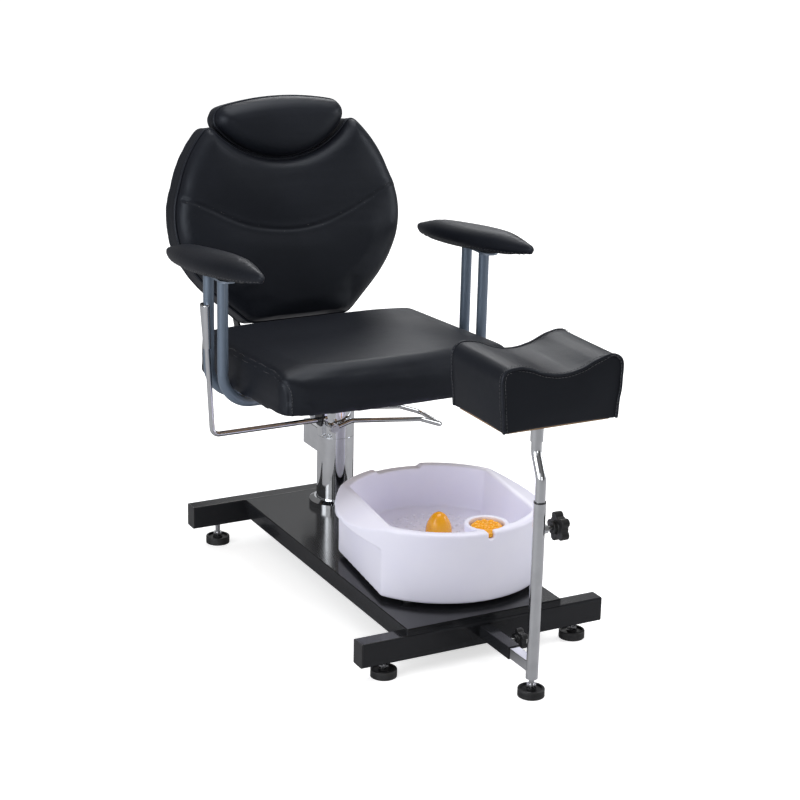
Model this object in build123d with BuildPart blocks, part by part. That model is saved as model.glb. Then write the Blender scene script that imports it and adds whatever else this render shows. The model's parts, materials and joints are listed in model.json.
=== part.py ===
from build123d import *
import os
from math import sin, cos, tan, radians

# Pedicure spa chair with a pump lift, reclining back, leg rest and loose foot basin.
# Millimetres, +Z up, the sitter faces -Y. The sitter's right is -X, the left is +X.
# Origin: on the floor, at the middle of the whole chair's footprint.
# Sizes called ..._Y are measured from the column axis, ..._Z from the floor.

os.makedirs("parts", exist_ok=True)

# ---------------------------------------------------------------- shared sizes
COLUMN_Y = 264.13     # column axis, behind the origin
FIT = 0.05            # radial running clearance
SIDES = (-1, 1)       # sitter's right, sitter's left
ON_BASE = (Align.CENTER, Align.CENTER, Align.MIN)

PLATE_TOP = 92.0      # top of the base plate
PLATE_T = 2.5
HEAD_TOP = 360.0      # top of the pump head
BOLT_PATTERN = dict(radius=47, count=4, start_angle=45)   # flange bolts on the column

STUD_R = 5.0          # levelling studs
STUD_NUT_R = 8.5      # nuts are given by half their width across flats
M8_R, M8_HEX_R = 4.0, 6.5
KNOB_NUT_R = 7.0


# ---------------------------------------------------------------- helpers
def along_x(x, y, z, side=1):
    """Plane facing +X (or -X for side=-1), sketch x is +Y; for +X sketch y is +Z."""
    return Plane(origin=(x, COLUMN_Y + y, z), x_dir=(0, 1, 0), z_dir=(side, 0, 0))


def facing_front(y, x=0.0, z=0.0):
    """Plane facing -Y, sketch x is +X, sketch y is +Z."""
    return Plane(origin=(x, COLUMN_Y + y, z), x_dir=(1, 0, 0), z_dir=(0, -1, 0))


def flat(z, x=0.0, y=0.0):
    """Plane facing +Z."""
    return Plane(origin=(x, COLUMN_Y + y, z))


def plate_start(side, inner, thickness):
    """X of the -X face of a side plate whose inner face is at side * inner."""
    return side * (inner + thickness / 2) - thickness / 2


def save(part, name):
    part.label = name
    export_step(part, "parts/" + name + ".step")


# ---------------------------------------------------------------- base frame
BEAM_H, BEAM_W, BEAM_WALL = 48.0, 34.0, 2.5
FRONT_BEAM_Y, FRONT_BEAM_HALF, FRONT_BEAM_Z0 = -626.0, 257.0, 30.0
REAR_BEAM_Y, REAR_BEAM_HALF, REAR_BEAM_Z0 = 109.0, 283.0, 44.0
FRONT_FOOT_X, REAR_FOOT_X = 205.0, 224.0
BEAM_NUT_H = 8

RECEIVER_Z, RECEIVER_W, RECEIVER_WALL = 58.0, 25.0, 2.0   # square receiver tube

PLATE_HALF = 167.0
PLATE_FRONT = -643.0
PLATE_BACK = REAR_BEAM_Y - BEAM_W / 2
SKIRT = 14.0

SIDE_RAIL_X, SIDE_RAIL_W, SIDE_RAIL_H, SIDE_RAIL_WALL = 150, 25, 38, 2
FLANGE_W, FLANGE_T = 140, 8
FLANGE_Z0 = PLATE_TOP - PLATE_T - FLANGE_T
COLLAR_R, COLLAR_H = 54, 18
FLANGE_BOLT_R, FLANGE_BOLT_HEX_R, FLANGE_BOLT_HEX_H = 3, 5, 5
SLEEVE_R = 39.0       # chrome sleeve and pump head


def beam(half, y, z0, foot_x, receiver_openings=False):
    """Cross beam with nuts welded inside, that the levelling studs screw into."""
    with BuildPart() as tube:
        with BuildSketch(along_x(-half, y, z0 + BEAM_H / 2)):
            RectangleRounded(BEAM_W, BEAM_H, 3)
            RectangleRounded(
                BEAM_W - 2 * BEAM_WALL, BEAM_H - 2 * BEAM_WALL, 1, mode=Mode.SUBTRACT
            )
        extrude(amount=2 * half)
        if receiver_openings:
            with BuildSketch(facing_front(y + 30, 0, RECEIVER_Z)):
                Rectangle(RECEIVER_W, RECEIVER_W)
            extrude(amount=60, mode=Mode.SUBTRACT)
        with BuildSketch(flat(z0 + BEAM_WALL)):
            with Locations((-foot_x, y), (foot_x, y)):
                RegularPolygon(STUD_NUT_R, 6, major_radius=False)
        extrude(amount=BEAM_NUT_H)
        with Locations(*[(side * foot_x, COLUMN_Y + y, z0) for side in SIDES]):
            Cylinder(STUD_R + FIT, 30, mode=Mode.SUBTRACT)
    return tube.part


save(
    beam(FRONT_BEAM_HALF, FRONT_BEAM_Y, FRONT_BEAM_Z0, FRONT_FOOT_X, receiver_openings=True),
    "front_beam",
)
save(beam(REAR_BEAM_HALF, REAR_BEAM_Y, REAR_BEAM_Z0, REAR_FOOT_X), "rear_beam")

# plastic plugs that close the four beam ends
CAP_T, PLUG_DEPTH, PLUG_GAP = 2.5, 12, 0.4
with BuildPart() as beam_end_caps:
    for side in SIDES:
        for half, y, z0 in (
            (FRONT_BEAM_HALF, FRONT_BEAM_Y, FRONT_BEAM_Z0),
            (REAR_BEAM_HALF, REAR_BEAM_Y, REAR_BEAM_Z0),
        ):
            beam_end = along_x(side * half, y, z0 + BEAM_H / 2, side)
            with BuildSketch(beam_end):
                RectangleRounded(BEAM_W, BEAM_H, 3)
            extrude(amount=CAP_T)
            with BuildSketch(beam_end):
                RectangleRounded(
                    BEAM_W - 2 * BEAM_WALL - PLUG_GAP, BEAM_H - 2 * BEAM_WALL - PLUG_GAP, 1
                )
            extrude(amount=-PLUG_DEPTH)
save(beam_end_caps.part, "beam_end_caps")

# folded steel tray, open underneath, closed by the rear beam
with BuildPart() as base_plate:
    plate_mid = (PLATE_FRONT + PLATE_BACK) / 2
    plate_length = PLATE_BACK - PLATE_FRONT
    with BuildSketch(flat(PLATE_TOP - SKIRT, 0, plate_mid)):
        Rectangle(2 * PLATE_HALF, plate_length)
    extrude(amount=SKIRT)
    fillet(base_plate.edges().filter_by(Axis.Z).group_by(Axis.Y)[0], 3)
    top = base_plate.faces().sort_by(Axis.Z)[-1]
    fillet([e for e in top.edges() if e.center().Y < COLUMN_Y + PLATE_BACK - 1], 2)
    with BuildSketch(flat(PLATE_TOP - SKIRT, 0, plate_mid + PLATE_T)):
        Rectangle(2 * (PLATE_HALF - PLATE_T), plate_length)
    extrude(amount=SKIRT - PLATE_T, mode=Mode.SUBTRACT)
    with Locations((0, COLUMN_Y, PLATE_TOP)):
        with PolarLocations(**BOLT_PATTERN):
            Cylinder(FLANGE_BOLT_R + 0.3, 12, mode=Mode.SUBTRACT)
save(base_plate.part, "base_plate")

# box tubes under the plate, from beam to beam
with BuildPart() as side_rails:
    for side in SIDES:
        rail_z = PLATE_TOP - PLATE_T - SIDE_RAIL_H / 2
        with BuildSketch(facing_front(PLATE_BACK, side * SIDE_RAIL_X, rail_z)):
            RectangleRounded(SIDE_RAIL_W, SIDE_RAIL_H, 2)
            RectangleRounded(
                SIDE_RAIL_W - 2 * SIDE_RAIL_WALL,
                SIDE_RAIL_H - 2 * SIDE_RAIL_WALL,
                1,
                mode=Mode.SUBTRACT,
            )
        extrude(amount=PLATE_BACK - (FRONT_BEAM_Y + BEAM_W / 2))
save(side_rails.part, "side_rails")

# backing plate under the tray
with BuildPart() as column_flange:
    with BuildSketch(flat(FLANGE_Z0)):
        RectangleRounded(FLANGE_W, FLANGE_W, 8)
    extrude(amount=FLANGE_T)
    with Locations((0, COLUMN_Y, PLATE_TOP - PLATE_T)):
        with PolarLocations(**BOLT_PATTERN):
            Cylinder(FLANGE_BOLT_R + 0.3, 20, mode=Mode.SUBTRACT)
save(column_flange.part, "column_flange")

with BuildPart() as column_collar:
    with BuildSketch(flat(PLATE_TOP)):
        Circle(COLLAR_R)
        Circle(SLEEVE_R + 1, mode=Mode.SUBTRACT)
    extrude(amount=COLLAR_H)
    circles = column_collar.edges().filter_by(GeomType.CIRCLE)
    chamfer(circles.group_by(Axis.Z)[-1].sort_by(SortBy.RADIUS)[-1], 6, 10)
    with Locations((0, COLUMN_Y, PLATE_TOP)):
        with PolarLocations(**BOLT_PATTERN):
            Cylinder(FLANGE_BOLT_R + FIT, 16, mode=Mode.SUBTRACT)
save(column_collar.part, "column_collar")

with BuildPart() as column_bolts:
    with Locations((0, COLUMN_Y, FLANGE_Z0)):
        with PolarLocations(**BOLT_PATTERN):
            Cylinder(FLANGE_BOLT_R, 17, align=ON_BASE)
    with BuildSketch(flat(FLANGE_Z0 - FLANGE_BOLT_HEX_H)):
        with PolarLocations(**BOLT_PATTERN):
            RegularPolygon(FLANGE_BOLT_HEX_R, 6, major_radius=False)
    extrude(amount=FLANGE_BOLT_HEX_H)
save(column_bolts.part, "column_bolts")

# ---------------------------------------------------------------- lift column
GUIDE_R, GUIDE_WALL, GUIDE_H = 35.5, 3, 146
CYLINDER_R, CYLINDER_H, CYLINDER_FLOOR = 24, 142, 6
RAM_R = 16.0
RAM_Z0, RAM_TOP = PLATE_TOP + 8, PLATE_TOP + 208
SEAM_Z = 248.0        # sleeve below, pump head above
HEAD_FLANGE_R, HEAD_FLANGE_T = 56, 8

WINDOW_ANGLE = radians(-146.5)     # front right
WINDOW_W, WINDOW_H, WINDOW_DEPTH = 24, 34, 16
WINDOW_START_R = 44                # outside the head, where the window cut starts

PUMP_BOX_Y, PUMP_BOX_Z0 = 60, 204
PUMP_BOX_W, PUMP_BOX_LENGTH, PUMP_BOX_H = 60, 74, 52

PIVOT_X, PIVOT_Z = -27.0, 278.0    # lift lever pivot, on the pump head
PIN_R, PIN_HALF = 5, 53
LEVER_EYE_Y, LEVER_EYE_R, LEVER_EYE_T = 47.0, 9.5, 10
LIFT_ROD_R, LIFT_ROD_BEND = 5, 11

with BuildPart() as guide_tube:
    with BuildSketch(flat(PLATE_TOP)):
        Circle(GUIDE_R)
        Circle(GUIDE_R - GUIDE_WALL, mode=Mode.SUBTRACT)
    extrude(amount=GUIDE_H)
save(guide_tube.part, "guide_tube")

with BuildPart() as pump_cylinder:
    with BuildSketch(flat(PLATE_TOP)):
        Circle(CYLINDER_R)
    extrude(amount=CYLINDER_H)
    with BuildSketch(flat(PLATE_TOP + CYLINDER_FLOOR)):
        Circle(RAM_R + FIT)
    extrude(amount=150, mode=Mode.SUBTRACT)
    circles = pump_cylinder.edges().filter_by(GeomType.CIRCLE)
    chamfer(circles.group_by(Axis.Z)[-1].sort_by(SortBy.RADIUS)[-1], 2)
save(pump_cylinder.part, "pump_cylinder")

with BuildPart() as ram_rod:
    with BuildSketch(flat(RAM_Z0)):
        Circle(RAM_R)
    extrude(amount=RAM_TOP - RAM_Z0)
    chamfer(ram_rod.edges().filter_by(GeomType.CIRCLE), 1)
save(ram_rod.part, "ram_rod")

# chrome sleeve that covers the guide tube and rises with the seat
with BuildPart() as outer_sleeve:
    with BuildSketch(flat(PLATE_TOP + 2)):
        Circle(SLEEVE_R)
        Circle(GUIDE_R + 0.5, mode=Mode.SUBTRACT)
    extrude(amount=SEAM_Z - PLATE_TOP - 2)
save(outer_sleeve.part, "outer_sleeve")

with BuildPart() as pump_head:
    with BuildSketch(flat(SEAM_Z)):
        Circle(SLEEVE_R)
    extrude(amount=HEAD_TOP - SEAM_Z)
    chamfer(pump_head.edges().filter_by(GeomType.CIRCLE).group_by(Axis.Z)[0], 0.6)
    with BuildSketch(flat(HEAD_TOP - HEAD_FLANGE_T)):
        Circle(HEAD_FLANGE_R)
    extrude(amount=HEAD_FLANGE_T)
    # bearing bore on the ram
    with BuildSketch(flat(SEAM_Z)):
        Circle(RAM_R + FIT)
    extrude(amount=RAM_TOP - SEAM_Z, mode=Mode.SUBTRACT)
    # shallow window in the side
    with BuildSketch(
        Plane(
            origin=(
                WINDOW_START_R * cos(WINDOW_ANGLE),
                COLUMN_Y + WINDOW_START_R * sin(WINDOW_ANGLE),
                SEAM_Z + 19,
            ),
            x_dir=(-sin(WINDOW_ANGLE), cos(WINDOW_ANGLE), 0),
            z_dir=(cos(WINDOW_ANGLE), sin(WINDOW_ANGLE), 0),
        )
    ):
        RectangleRounded(WINDOW_W, WINDOW_H, 1.5)
    extrude(amount=-WINDOW_DEPTH, mode=Mode.SUBTRACT)
    # cross bore for the lift lever pin
    with BuildSketch(facing_front(60, PIVOT_X, PIVOT_Z)):
        Circle(PIN_R + FIT)
    extrude(amount=120, mode=Mode.SUBTRACT)
    with Locations((0, COLUMN_Y, HEAD_TOP)):
        with PolarLocations(**BOLT_PATTERN):
            Cylinder(M8_R + FIT, 30, mode=Mode.SUBTRACT)
save(pump_head.part, "pump_head")

# box behind the column, open underneath
with BuildPart() as pump_box:
    with BuildSketch(flat(PUMP_BOX_Z0, 0, PUMP_BOX_Y)):
        RectangleRounded(PUMP_BOX_W, PUMP_BOX_LENGTH, 3)
    extrude(amount=PUMP_BOX_H)
    fillet(pump_box.edges().group_by(Axis.Z)[-1], 1.5)
    with BuildSketch(flat(PUMP_BOX_Z0, 0, PUMP_BOX_Y)):
        Rectangle(PUMP_BOX_W - 5, PUMP_BOX_LENGTH - 5)
    extrude(amount=PUMP_BOX_H - 3, mode=Mode.SUBTRACT)
    with BuildSketch(flat(200)):
        Circle(SLEEVE_R + FIT)
    extrude(amount=80, mode=Mode.SUBTRACT)
save(pump_box.part, "pump_box")

with BuildPart() as lift_lever_pin:
    with BuildSketch(facing_front(PIN_HALF, PIVOT_X, PIVOT_Z)):
        Circle(PIN_R)
    extrude(amount=2 * PIN_HALF)
save(lift_lever_pin.part, "lift_lever_pin")

# stirrup-shaped pump lever: an eye on each end of the pin, one bent rod between
# corners of one arm: x, height above the pivot
LIFT_ARM = ((PIVOT_X + 8, 2), (14, 11), (178, -8), (230, -28))
with BuildPart() as lift_lever:
    with BuildLine() as rod_path:
        FilletPolyline(
            *[(x, COLUMN_Y - LEVER_EYE_Y, PIVOT_Z + z) for x, z in LIFT_ARM],
            *[(x, COLUMN_Y + LEVER_EYE_Y, PIVOT_Z + z) for x, z in reversed(LIFT_ARM)],
            radius=LIFT_ROD_BEND,
        )
    with BuildSketch(Plane(origin=rod_path.line @ 0, z_dir=rod_path.line % 0)):
        Circle(LIFT_ROD_R)
    sweep()
    for side in SIDES:
        eye_back = side * LEVER_EYE_Y + LEVER_EYE_T / 2
        with BuildSketch(facing_front(eye_back, PIVOT_X, PIVOT_Z)):
            Circle(LEVER_EYE_R)
        extrude(amount=LEVER_EYE_T)
    with BuildSketch(facing_front(60, PIVOT_X, PIVOT_Z)):
        Circle(PIN_R + FIT)
    extrude(amount=120, mode=Mode.SUBTRACT)
save(lift_lever.part, "lift_lever")

# ---------------------------------------------------------------- seat frame
SEAT_TILT = radians(3.4)
SEAT_Y0, SEAT_Y1 = -305.0, 160.0
SEAT_Z0 = 407.0       # underside at the front edge

RAIL_X0, RAIL_X1, RAIL_Z = 85.0, 110.0, 366.0
RAIL_Y0, RAIL_Y1 = -120, 150
RAIL_W = RAIL_X1 - RAIL_X0
CHANNEL_WALL, CHANNEL_END, CHANNEL_DEPTH = 3, 4, 14
MOUNT_T = 6

RECLINE_ROD_R = 5.5
RECLINE_Y, RECLINE_Z = -60.0, 306.0    # recline lever axis


def seat_under(y):
    """Height of the seat's underside at y."""
    return SEAT_Z0 - (y - SEAT_Y0) * tan(SEAT_TILT)


# wedge-shaped rails of inverted channel section
with BuildPart() as seat_rails:
    for side in SIDES:
        with BuildSketch(along_x(plate_start(side, RAIL_X0, RAIL_W), 0, 0)):
            with BuildLine():
                Polyline(
                    (RAIL_Y0, RAIL_Z),
                    (RAIL_Y1, RAIL_Z),
                    (RAIL_Y1, seat_under(RAIL_Y1) - 0.2),
                    (RAIL_Y0, seat_under(RAIL_Y0) - 0.2),
                    close=True,
                )
            make_face()
        extrude(amount=RAIL_W)
    rail_x = (RAIL_X0 + RAIL_X1) / 2
    with BuildSketch(flat(RAIL_Z, 0, (RAIL_Y0 + RAIL_Y1) / 2)):
        with Locations((-rail_x, 0), (rail_x, 0)):
            Rectangle(RAIL_W - 2 * CHANNEL_WALL, RAIL_Y1 - RAIL_Y0 - 2 * CHANNEL_END)
    extrude(amount=CHANNEL_DEPTH, mode=Mode.SUBTRACT)
save(seat_rails.part, "seat_rails")

with BuildPart() as seat_mount:
    with BuildSketch(flat(HEAD_TOP)):
        RectangleRounded(2 * RAIL_X1, 190, 8)
    extrude(amount=MOUNT_T)
    with Locations((0, COLUMN_Y, HEAD_TOP)):
        with PolarLocations(**BOLT_PATTERN):
            Cylinder(M8_R + 0.5, 20, mode=Mode.SUBTRACT)
    # lug that carries the recline lever
    with BuildSketch(along_x(-70, RECLINE_Y, 0)):
        with BuildLine():
            Polyline(
                (-14, 300), (-9, 294), (9, 294), (14, 300), (26, HEAD_TOP), (-26, HEAD_TOP),
                close=True,
            )
        make_face()
        with Locations((0, RECLINE_Z)):
            Circle(RECLINE_ROD_R + FIT, mode=Mode.SUBTRACT)
    extrude(amount=5)
save(seat_mount.part, "seat_mount")

SEAT_BOLT_DEPTH = 14  # in the pump head
with BuildPart() as seat_bolts:
    with Locations((0, COLUMN_Y, HEAD_TOP - SEAT_BOLT_DEPTH)):
        with PolarLocations(**BOLT_PATTERN):
            Cylinder(M8_R, SEAT_BOLT_DEPTH + MOUNT_T, align=ON_BASE)
    with BuildSketch(flat(HEAD_TOP + MOUNT_T)):
        with PolarLocations(**BOLT_PATTERN):
            RegularPolygon(M8_HEX_R, 6, major_radius=False)
    extrude(amount=5.3)
save(seat_bolts.part, "seat_bolts")

# ---------------------------------------------------------------- armrests
ARM_TUBE_R, ARM_TUBE_WALL, ARM_BEND = 11.0, 1.5, 62.0
ARM_X = 295.0
ARM_Y = (-88.0, -17.0)        # the two tubes of each side
ARM_MID_Y = sum(ARM_Y) / 2
ARM_UNDER_Z = 377.0
ARM_TOP = 635.0               # top of the tubes, under the straps
STRAP_LENGTH, STRAP_W, STRAP_T = 150, 34, 4

PAD_TILT = radians(6.5)
PAD_LENGTH, PAD_W, PAD_T = 455.0, 88.0, 40.0
PAD_BACK = 11.0               # the pad's middle sits this far behind the tubes' middle
PAD_BASE_T = 9
PAD_LIFT = PAD_BASE_T + 0.2   # underside of the pad above that of its base

with BuildPart() as arm_frames:
    for side in SIDES:
        for y in ARM_Y:
            with BuildLine(facing_front(y)) as path:
                FilletPolyline(
                    (side * (RAIL_X1 + 0.05), ARM_UNDER_Z),
                    (side * ARM_X, ARM_UNDER_Z),
                    (side * ARM_X, ARM_TOP),
                    radius=ARM_BEND,
                )
            with BuildSketch(Plane(origin=path.line @ 0, z_dir=path.line % 0)):
                Circle(ARM_TUBE_R)
                Circle(ARM_TUBE_R - ARM_TUBE_WALL, mode=Mode.SUBTRACT)
            sweep()
        # strap that joins the two tubes under the pad
        with BuildSketch(flat(ARM_TOP, side * ARM_X, ARM_MID_Y)):
            SlotOverall(STRAP_LENGTH, STRAP_W, rotation=90)
        extrude(amount=STRAP_T)
save(arm_frames.part, "arm_frames")


def pad_plane(side, up):
    """Tilted plane of a pad, up above the strap; sketch x is towards the front."""
    return Plane(
        origin=(
            side * ARM_X,
            COLUMN_Y + ARM_MID_Y + up * sin(PAD_TILT) + PAD_BACK * cos(PAD_TILT),
            ARM_TOP + STRAP_T + up * cos(PAD_TILT) - PAD_BACK * sin(PAD_TILT),
        ),
        x_dir=(0, -cos(PAD_TILT), sin(PAD_TILT)),
        z_dir=(0, sin(PAD_TILT), cos(PAD_TILT)),
    )


def pad_outline(length, width):
    """Pointed oval with rounded tips."""
    with BuildSketch() as outline:
        with BuildLine():
            for m in (1, -1):
                ThreePointArc((length / 2, 0), (0, m * width / 2), (-length / 2, 0))
        make_face()
        fillet(outline.vertices(), 17)
    return outline.sketch


with BuildPart() as arm_bases:
    for side in SIDES:
        with BuildSketch(pad_plane(side, 0)):
            add(pad_outline(PAD_LENGTH - 10, PAD_W - 22))
        extrude(amount=PAD_BASE_T)
        # flat pocket that beds on the strap
        with BuildSketch(flat(ARM_TOP - 20, side * ARM_X, ARM_MID_Y)):
            SlotOverall(STRAP_LENGTH + 2, STRAP_W + 2, rotation=90)
        extrude(amount=20 + STRAP_T + 0.02, mode=Mode.SUBTRACT)
save(arm_bases.part, "arm_bases")

# a wide body, and a narrower, higher top that steps it
with BuildPart() as arm_pads:
    for side in SIDES:
        with BuildSketch(pad_plane(side, PAD_LIFT)):
            add(pad_outline(PAD_LENGTH + 30, PAD_W))
        extrude(amount=PAD_T - 9)
        with BuildSketch(pad_plane(side, PAD_LIFT)):
            add(pad_outline(PAD_LENGTH + 10, PAD_W - 14))
        extrude(amount=PAD_T)
save(arm_pads.part, "arm_pads")

# screw heads under the straps
ARM_SCREW_POINTS = [
    (side * ARM_X, COLUMN_Y + ARM_MID_Y + dy, ARM_TOP - 4) for side in SIDES for dy in (-15, 15)
]
with BuildPart() as arm_screws:
    with Locations(*ARM_SCREW_POINTS):
        Cylinder(5, 3.95, align=ON_BASE)
save(arm_screws.part, "arm_screws")

# ---------------------------------------------------------------- seat
SEAT_HALF = 258.0
SEAT_T = 85.0
SEAT_BOW = 26.0       # the front edge bows forward in the middle
SEAT_FRONT = 8        # front corners, along the seat from SEAT_Y0
SEAT_LENGTH = (SEAT_Y1 - SEAT_Y0) / cos(SEAT_TILT) - 7
SEAT_BOARD_T = 14
SEAT_PLANE = Plane(
    origin=(0, COLUMN_Y + SEAT_Y0, SEAT_Z0),
    x_dir=(1, 0, 0),
    z_dir=(0, sin(SEAT_TILT), cos(SEAT_TILT)),
)


def seat_outline(inset, corner_r):
    """Seat in plan, inset inside its edge; the front edge is an arc."""
    half = SEAT_HALF - inset
    front, back = SEAT_FRONT + inset, SEAT_LENGTH - inset
    with BuildSketch() as outline:
        with BuildLine():
            ThreePointArc((-half, front), (0, front - SEAT_BOW), (half, front))
            Polyline((half, front), (half, back), (-half, back), (-half, front))
        make_face()
        fillet(outline.vertices(), corner_r)
    return outline.sketch


with BuildPart() as seat_board:
    with BuildSketch(SEAT_PLANE.offset(0.2)):
        add(seat_outline(12, 20))
    extrude(amount=SEAT_BOARD_T)
save(seat_board.part, "seat_board")

with BuildPart() as seat_cushion:
    with BuildSketch(SEAT_PLANE):
        add(seat_outline(0, 34))
    extrude(amount=SEAT_T)
    top = seat_cushion.faces().sort_by(Axis.Z)[-1]
    fillet(top.edges(), 22)
    # recess for the board
    with BuildSketch(SEAT_PLANE):
        add(seat_outline(11, 23))
    extrude(amount=SEAT_BOARD_T + 0.6, mode=Mode.SUBTRACT)
    # notches in the lower edge that clear the arm tubes' bends
    for side in SIDES:
        for y in ARM_Y:
            with Locations((side * 252, COLUMN_Y + y, ARM_UNDER_Z)):
                Box(24, 27, 38, mode=Mode.SUBTRACT)
save(seat_cushion.part, "seat_cushion")

# ---------------------------------------------------------------- recline lever
LEVER_X, LEVER_TOP = -320.0, 551.0
LEVER_BEND_X = LEVER_X + 14
GRIP_DEPTH, GRIP_LENGTH = 62, 92      # length of rod inside the grip, length of the grip

with BuildPart() as recline_lever:
    with BuildLine(facing_front(RECLINE_Y)) as rod_path:
        FilletPolyline(
            (-52, RECLINE_Z), (LEVER_BEND_X, RECLINE_Z), (LEVER_X, LEVER_TOP), radius=16
        )
    with BuildSketch(Plane(origin=rod_path.line @ 0, z_dir=rod_path.line % 0)):
        Circle(RECLINE_ROD_R)
    sweep()
    # short crank on the inner end
    with BuildSketch(along_x(-58, RECLINE_Y, RECLINE_Z)):
        Circle(10)
        with BuildLine():
            Polyline((-6, 5), (-4, 34), (4, 34), (6, 5), close=True)
        make_face()
    extrude(amount=5)
save(recline_lever.part, "recline_lever")

lean = (Vector(LEVER_X, 0, LEVER_TOP) - Vector(LEVER_BEND_X, 0, RECLINE_Z)).normalized()
grip_start = Vector(LEVER_X, COLUMN_Y + RECLINE_Y, LEVER_TOP) - lean * GRIP_DEPTH


def grip_plane(along):
    """Plane across the grip, along its length from the lower end."""
    return Plane(origin=grip_start + lean * along, x_dir=(0, 1, 0), z_dir=lean)


# tapered hand grip on the lever's upper end
with BuildPart() as lever_grip:
    with BuildSketch(grip_plane(0)):
        Ellipse(9, 7.6)
    with BuildSketch(grip_plane(GRIP_LENGTH)):
        Ellipse(14, 9)
    loft()
    fillet(lever_grip.edges().group_by(Axis.Z)[-1], 3)
    with BuildSketch(grip_plane(-1)):
        Circle(RECLINE_ROD_R + 0.02)
    extrude(amount=GRIP_DEPTH + 2, mode=Mode.SUBTRACT)
save(lever_grip.part, "lever_grip")

# ---------------------------------------------------------------- backrest
BACK_LEAN = radians(14.0)
BACK_Y, BACK_Z = 180.0, 480.0      # reference point of the back's front plane
BACK_T = 60.0
CROWN = 16.0
BACK_BOARD_T = 12
UP_BACK = (0, sin(BACK_LEAN), cos(BACK_LEAN))
TO_SITTER = (0, -cos(BACK_LEAN), sin(BACK_LEAN))

HEADREST_X, HEADREST_OFF = 60.0, -26.0    # headrest rods, from the front plane
GUIDE_OUTER_R, HEADREST_ROD_R = 8, 6
GUIDE_BORE_START = 200                    # lower end of the bores, up the back


def back_plane(off, up=0.0, x=0.0):
    """Plane parallel to the back's front plane; off is towards the sitter."""
    return Plane(
        origin=(
            x,
            COLUMN_Y + BACK_Y + up * UP_BACK[1] + off * TO_SITTER[1],
            BACK_Z + up * UP_BACK[2] + off * TO_SITTER[2],
        ),
        x_dir=(1, 0, 0),
        z_dir=TO_SITTER,
    )


def headrest_plane(side, up):
    """Plane across a headrest rod, facing up the back."""
    return Plane(
        origin=back_plane(HEADREST_OFF, up, side * HEADREST_X).origin,
        x_dir=(1, 0, 0),
        z_dir=UP_BACK,
    )


def back_outline(inset):
    """Wide rounded shield with two ears and a concave top; sketch y is up the back."""
    with BuildSketch() as outline:
        with BuildLine():
            ThreePointArc((-166, 399), (0, 318), (166, 399))
            for m in (1, -1):
                ThreePointArc((m * 166, 399), (m * 212, 350), (m * 246, 276))
                ThreePointArc((m * 246, 276), (m * 263, 205), (m * 252, 135))
                ThreePointArc((m * 252, 135), (m * 224, 84), (m * 182, 36))
                Line((m * 182, 36), (m * 130, -13))
                ThreePointArc((m * 130, -13), (m * 121, -21), (m * 106, -25))
            Line((106, -25), (-106, -25))
        make_face()
        if inset:
            offset(amount=-inset, kind=Kind.INTERSECTION)
    return outline.sketch


# layers of the cushion: rear and front offset, inset; square behind, crowned in steps
BACK_LAYERS = ((-BACK_T, -10, 0), (-11, 0, 4), (-1, 9, 10), (8, CROWN, 20))
with BuildPart() as back_cushion:
    for rear, front, inset in BACK_LAYERS:
        with BuildSketch(back_plane(rear)):
            add(back_outline(inset))
        extrude(amount=front - rear)
    with BuildSketch(back_plane(-BACK_T)):
        add(back_outline(16))
    extrude(amount=BACK_BOARD_T + 0.6, mode=Mode.SUBTRACT)
    # bores for the headrest guides
    for side in SIDES:
        with BuildSketch(headrest_plane(side, GUIDE_BORE_START)):
            Circle(GUIDE_OUTER_R + 0.2)
        extrude(amount=200, mode=Mode.SUBTRACT)
save(back_cushion.part, "back_cushion")

with BuildPart() as back_board:
    with BuildSketch(back_plane(-BACK_T)):
        add(back_outline(17))
    extrude(amount=BACK_BOARD_T)
save(back_board.part, "back_board")

with BuildPart() as headrest_guides:
    for side in SIDES:
        with BuildSketch(headrest_plane(side, GUIDE_BORE_START + 1)):
            Circle(GUIDE_OUTER_R)
            Circle(HEADREST_ROD_R + FIT, mode=Mode.SUBTRACT)
        extrude(amount=122)
save(headrest_guides.part, "headrest_guides")

with BuildPart() as headrest_rods:
    for side in SIDES:
        with BuildSketch(headrest_plane(side, 206)):
            Circle(HEADREST_ROD_R)
        extrude(amount=170)
save(headrest_rods.part, "headrest_rods")

with BuildPart() as headrest_cushion:
    with BuildSketch(back_plane(-54)):
        with BuildLine():
            ThreePointArc((-146, 392), (0, 323), (146, 392))
            ThreePointArc((146, 392), (149, 417), (128, 436))
            ThreePointArc((128, 436), (0, 452), (-128, 436))
            ThreePointArc((-128, 436), (-149, 417), (-146, 392))
        make_face()
    extrude(amount=54 + 10)
    for side in SIDES:
        with BuildSketch(headrest_plane(side, 300)):
            Circle(HEADREST_ROD_R + FIT)
        extrude(amount=77, mode=Mode.SUBTRACT)
save(headrest_cushion.part, "headrest_cushion")

# ---------------------------------------------------------------- recline hinge
HINGE_Y, HINGE_Z = 205.0, 428.0    # back pivot
HINGE_PIN_R = 6
ARC_R, SLOT_HALF_W = 38.0, 4.3     # arc slot of the recline clamp
RECLINE = 40.0                     # degrees of travel
CLAMP_ANGLE = -32.0
EAR_T, BRACKET_T = 5, 5
BRACKET_X = RAIL_X1 + EAR_T + 0.2  # inner face of the brackets

BRACKET_FOOT_W, BRACKET_FOOT_LENGTH, BRACKET_FOOT_T = 28, 150, 4
BRACKET_FOOT_X = BRACKET_X + BRACKET_FOOT_W / 2
BRACKET_FOOT_UP, BRACKET_SCREW_DV = 80, 50
FOOT_FRONT = BACK_T + 0.3          # behind the back's front plane
FOOT_REAR = FOOT_FRONT + BRACKET_FOOT_T
BACK_SCREW_HEAD_T = 3


def around_hinge(radius, angle):
    """Point in the Y-Z plane, polar about the back pivot."""
    return (HINGE_Y + radius * cos(angle), HINGE_Z + radius * sin(angle))


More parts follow.
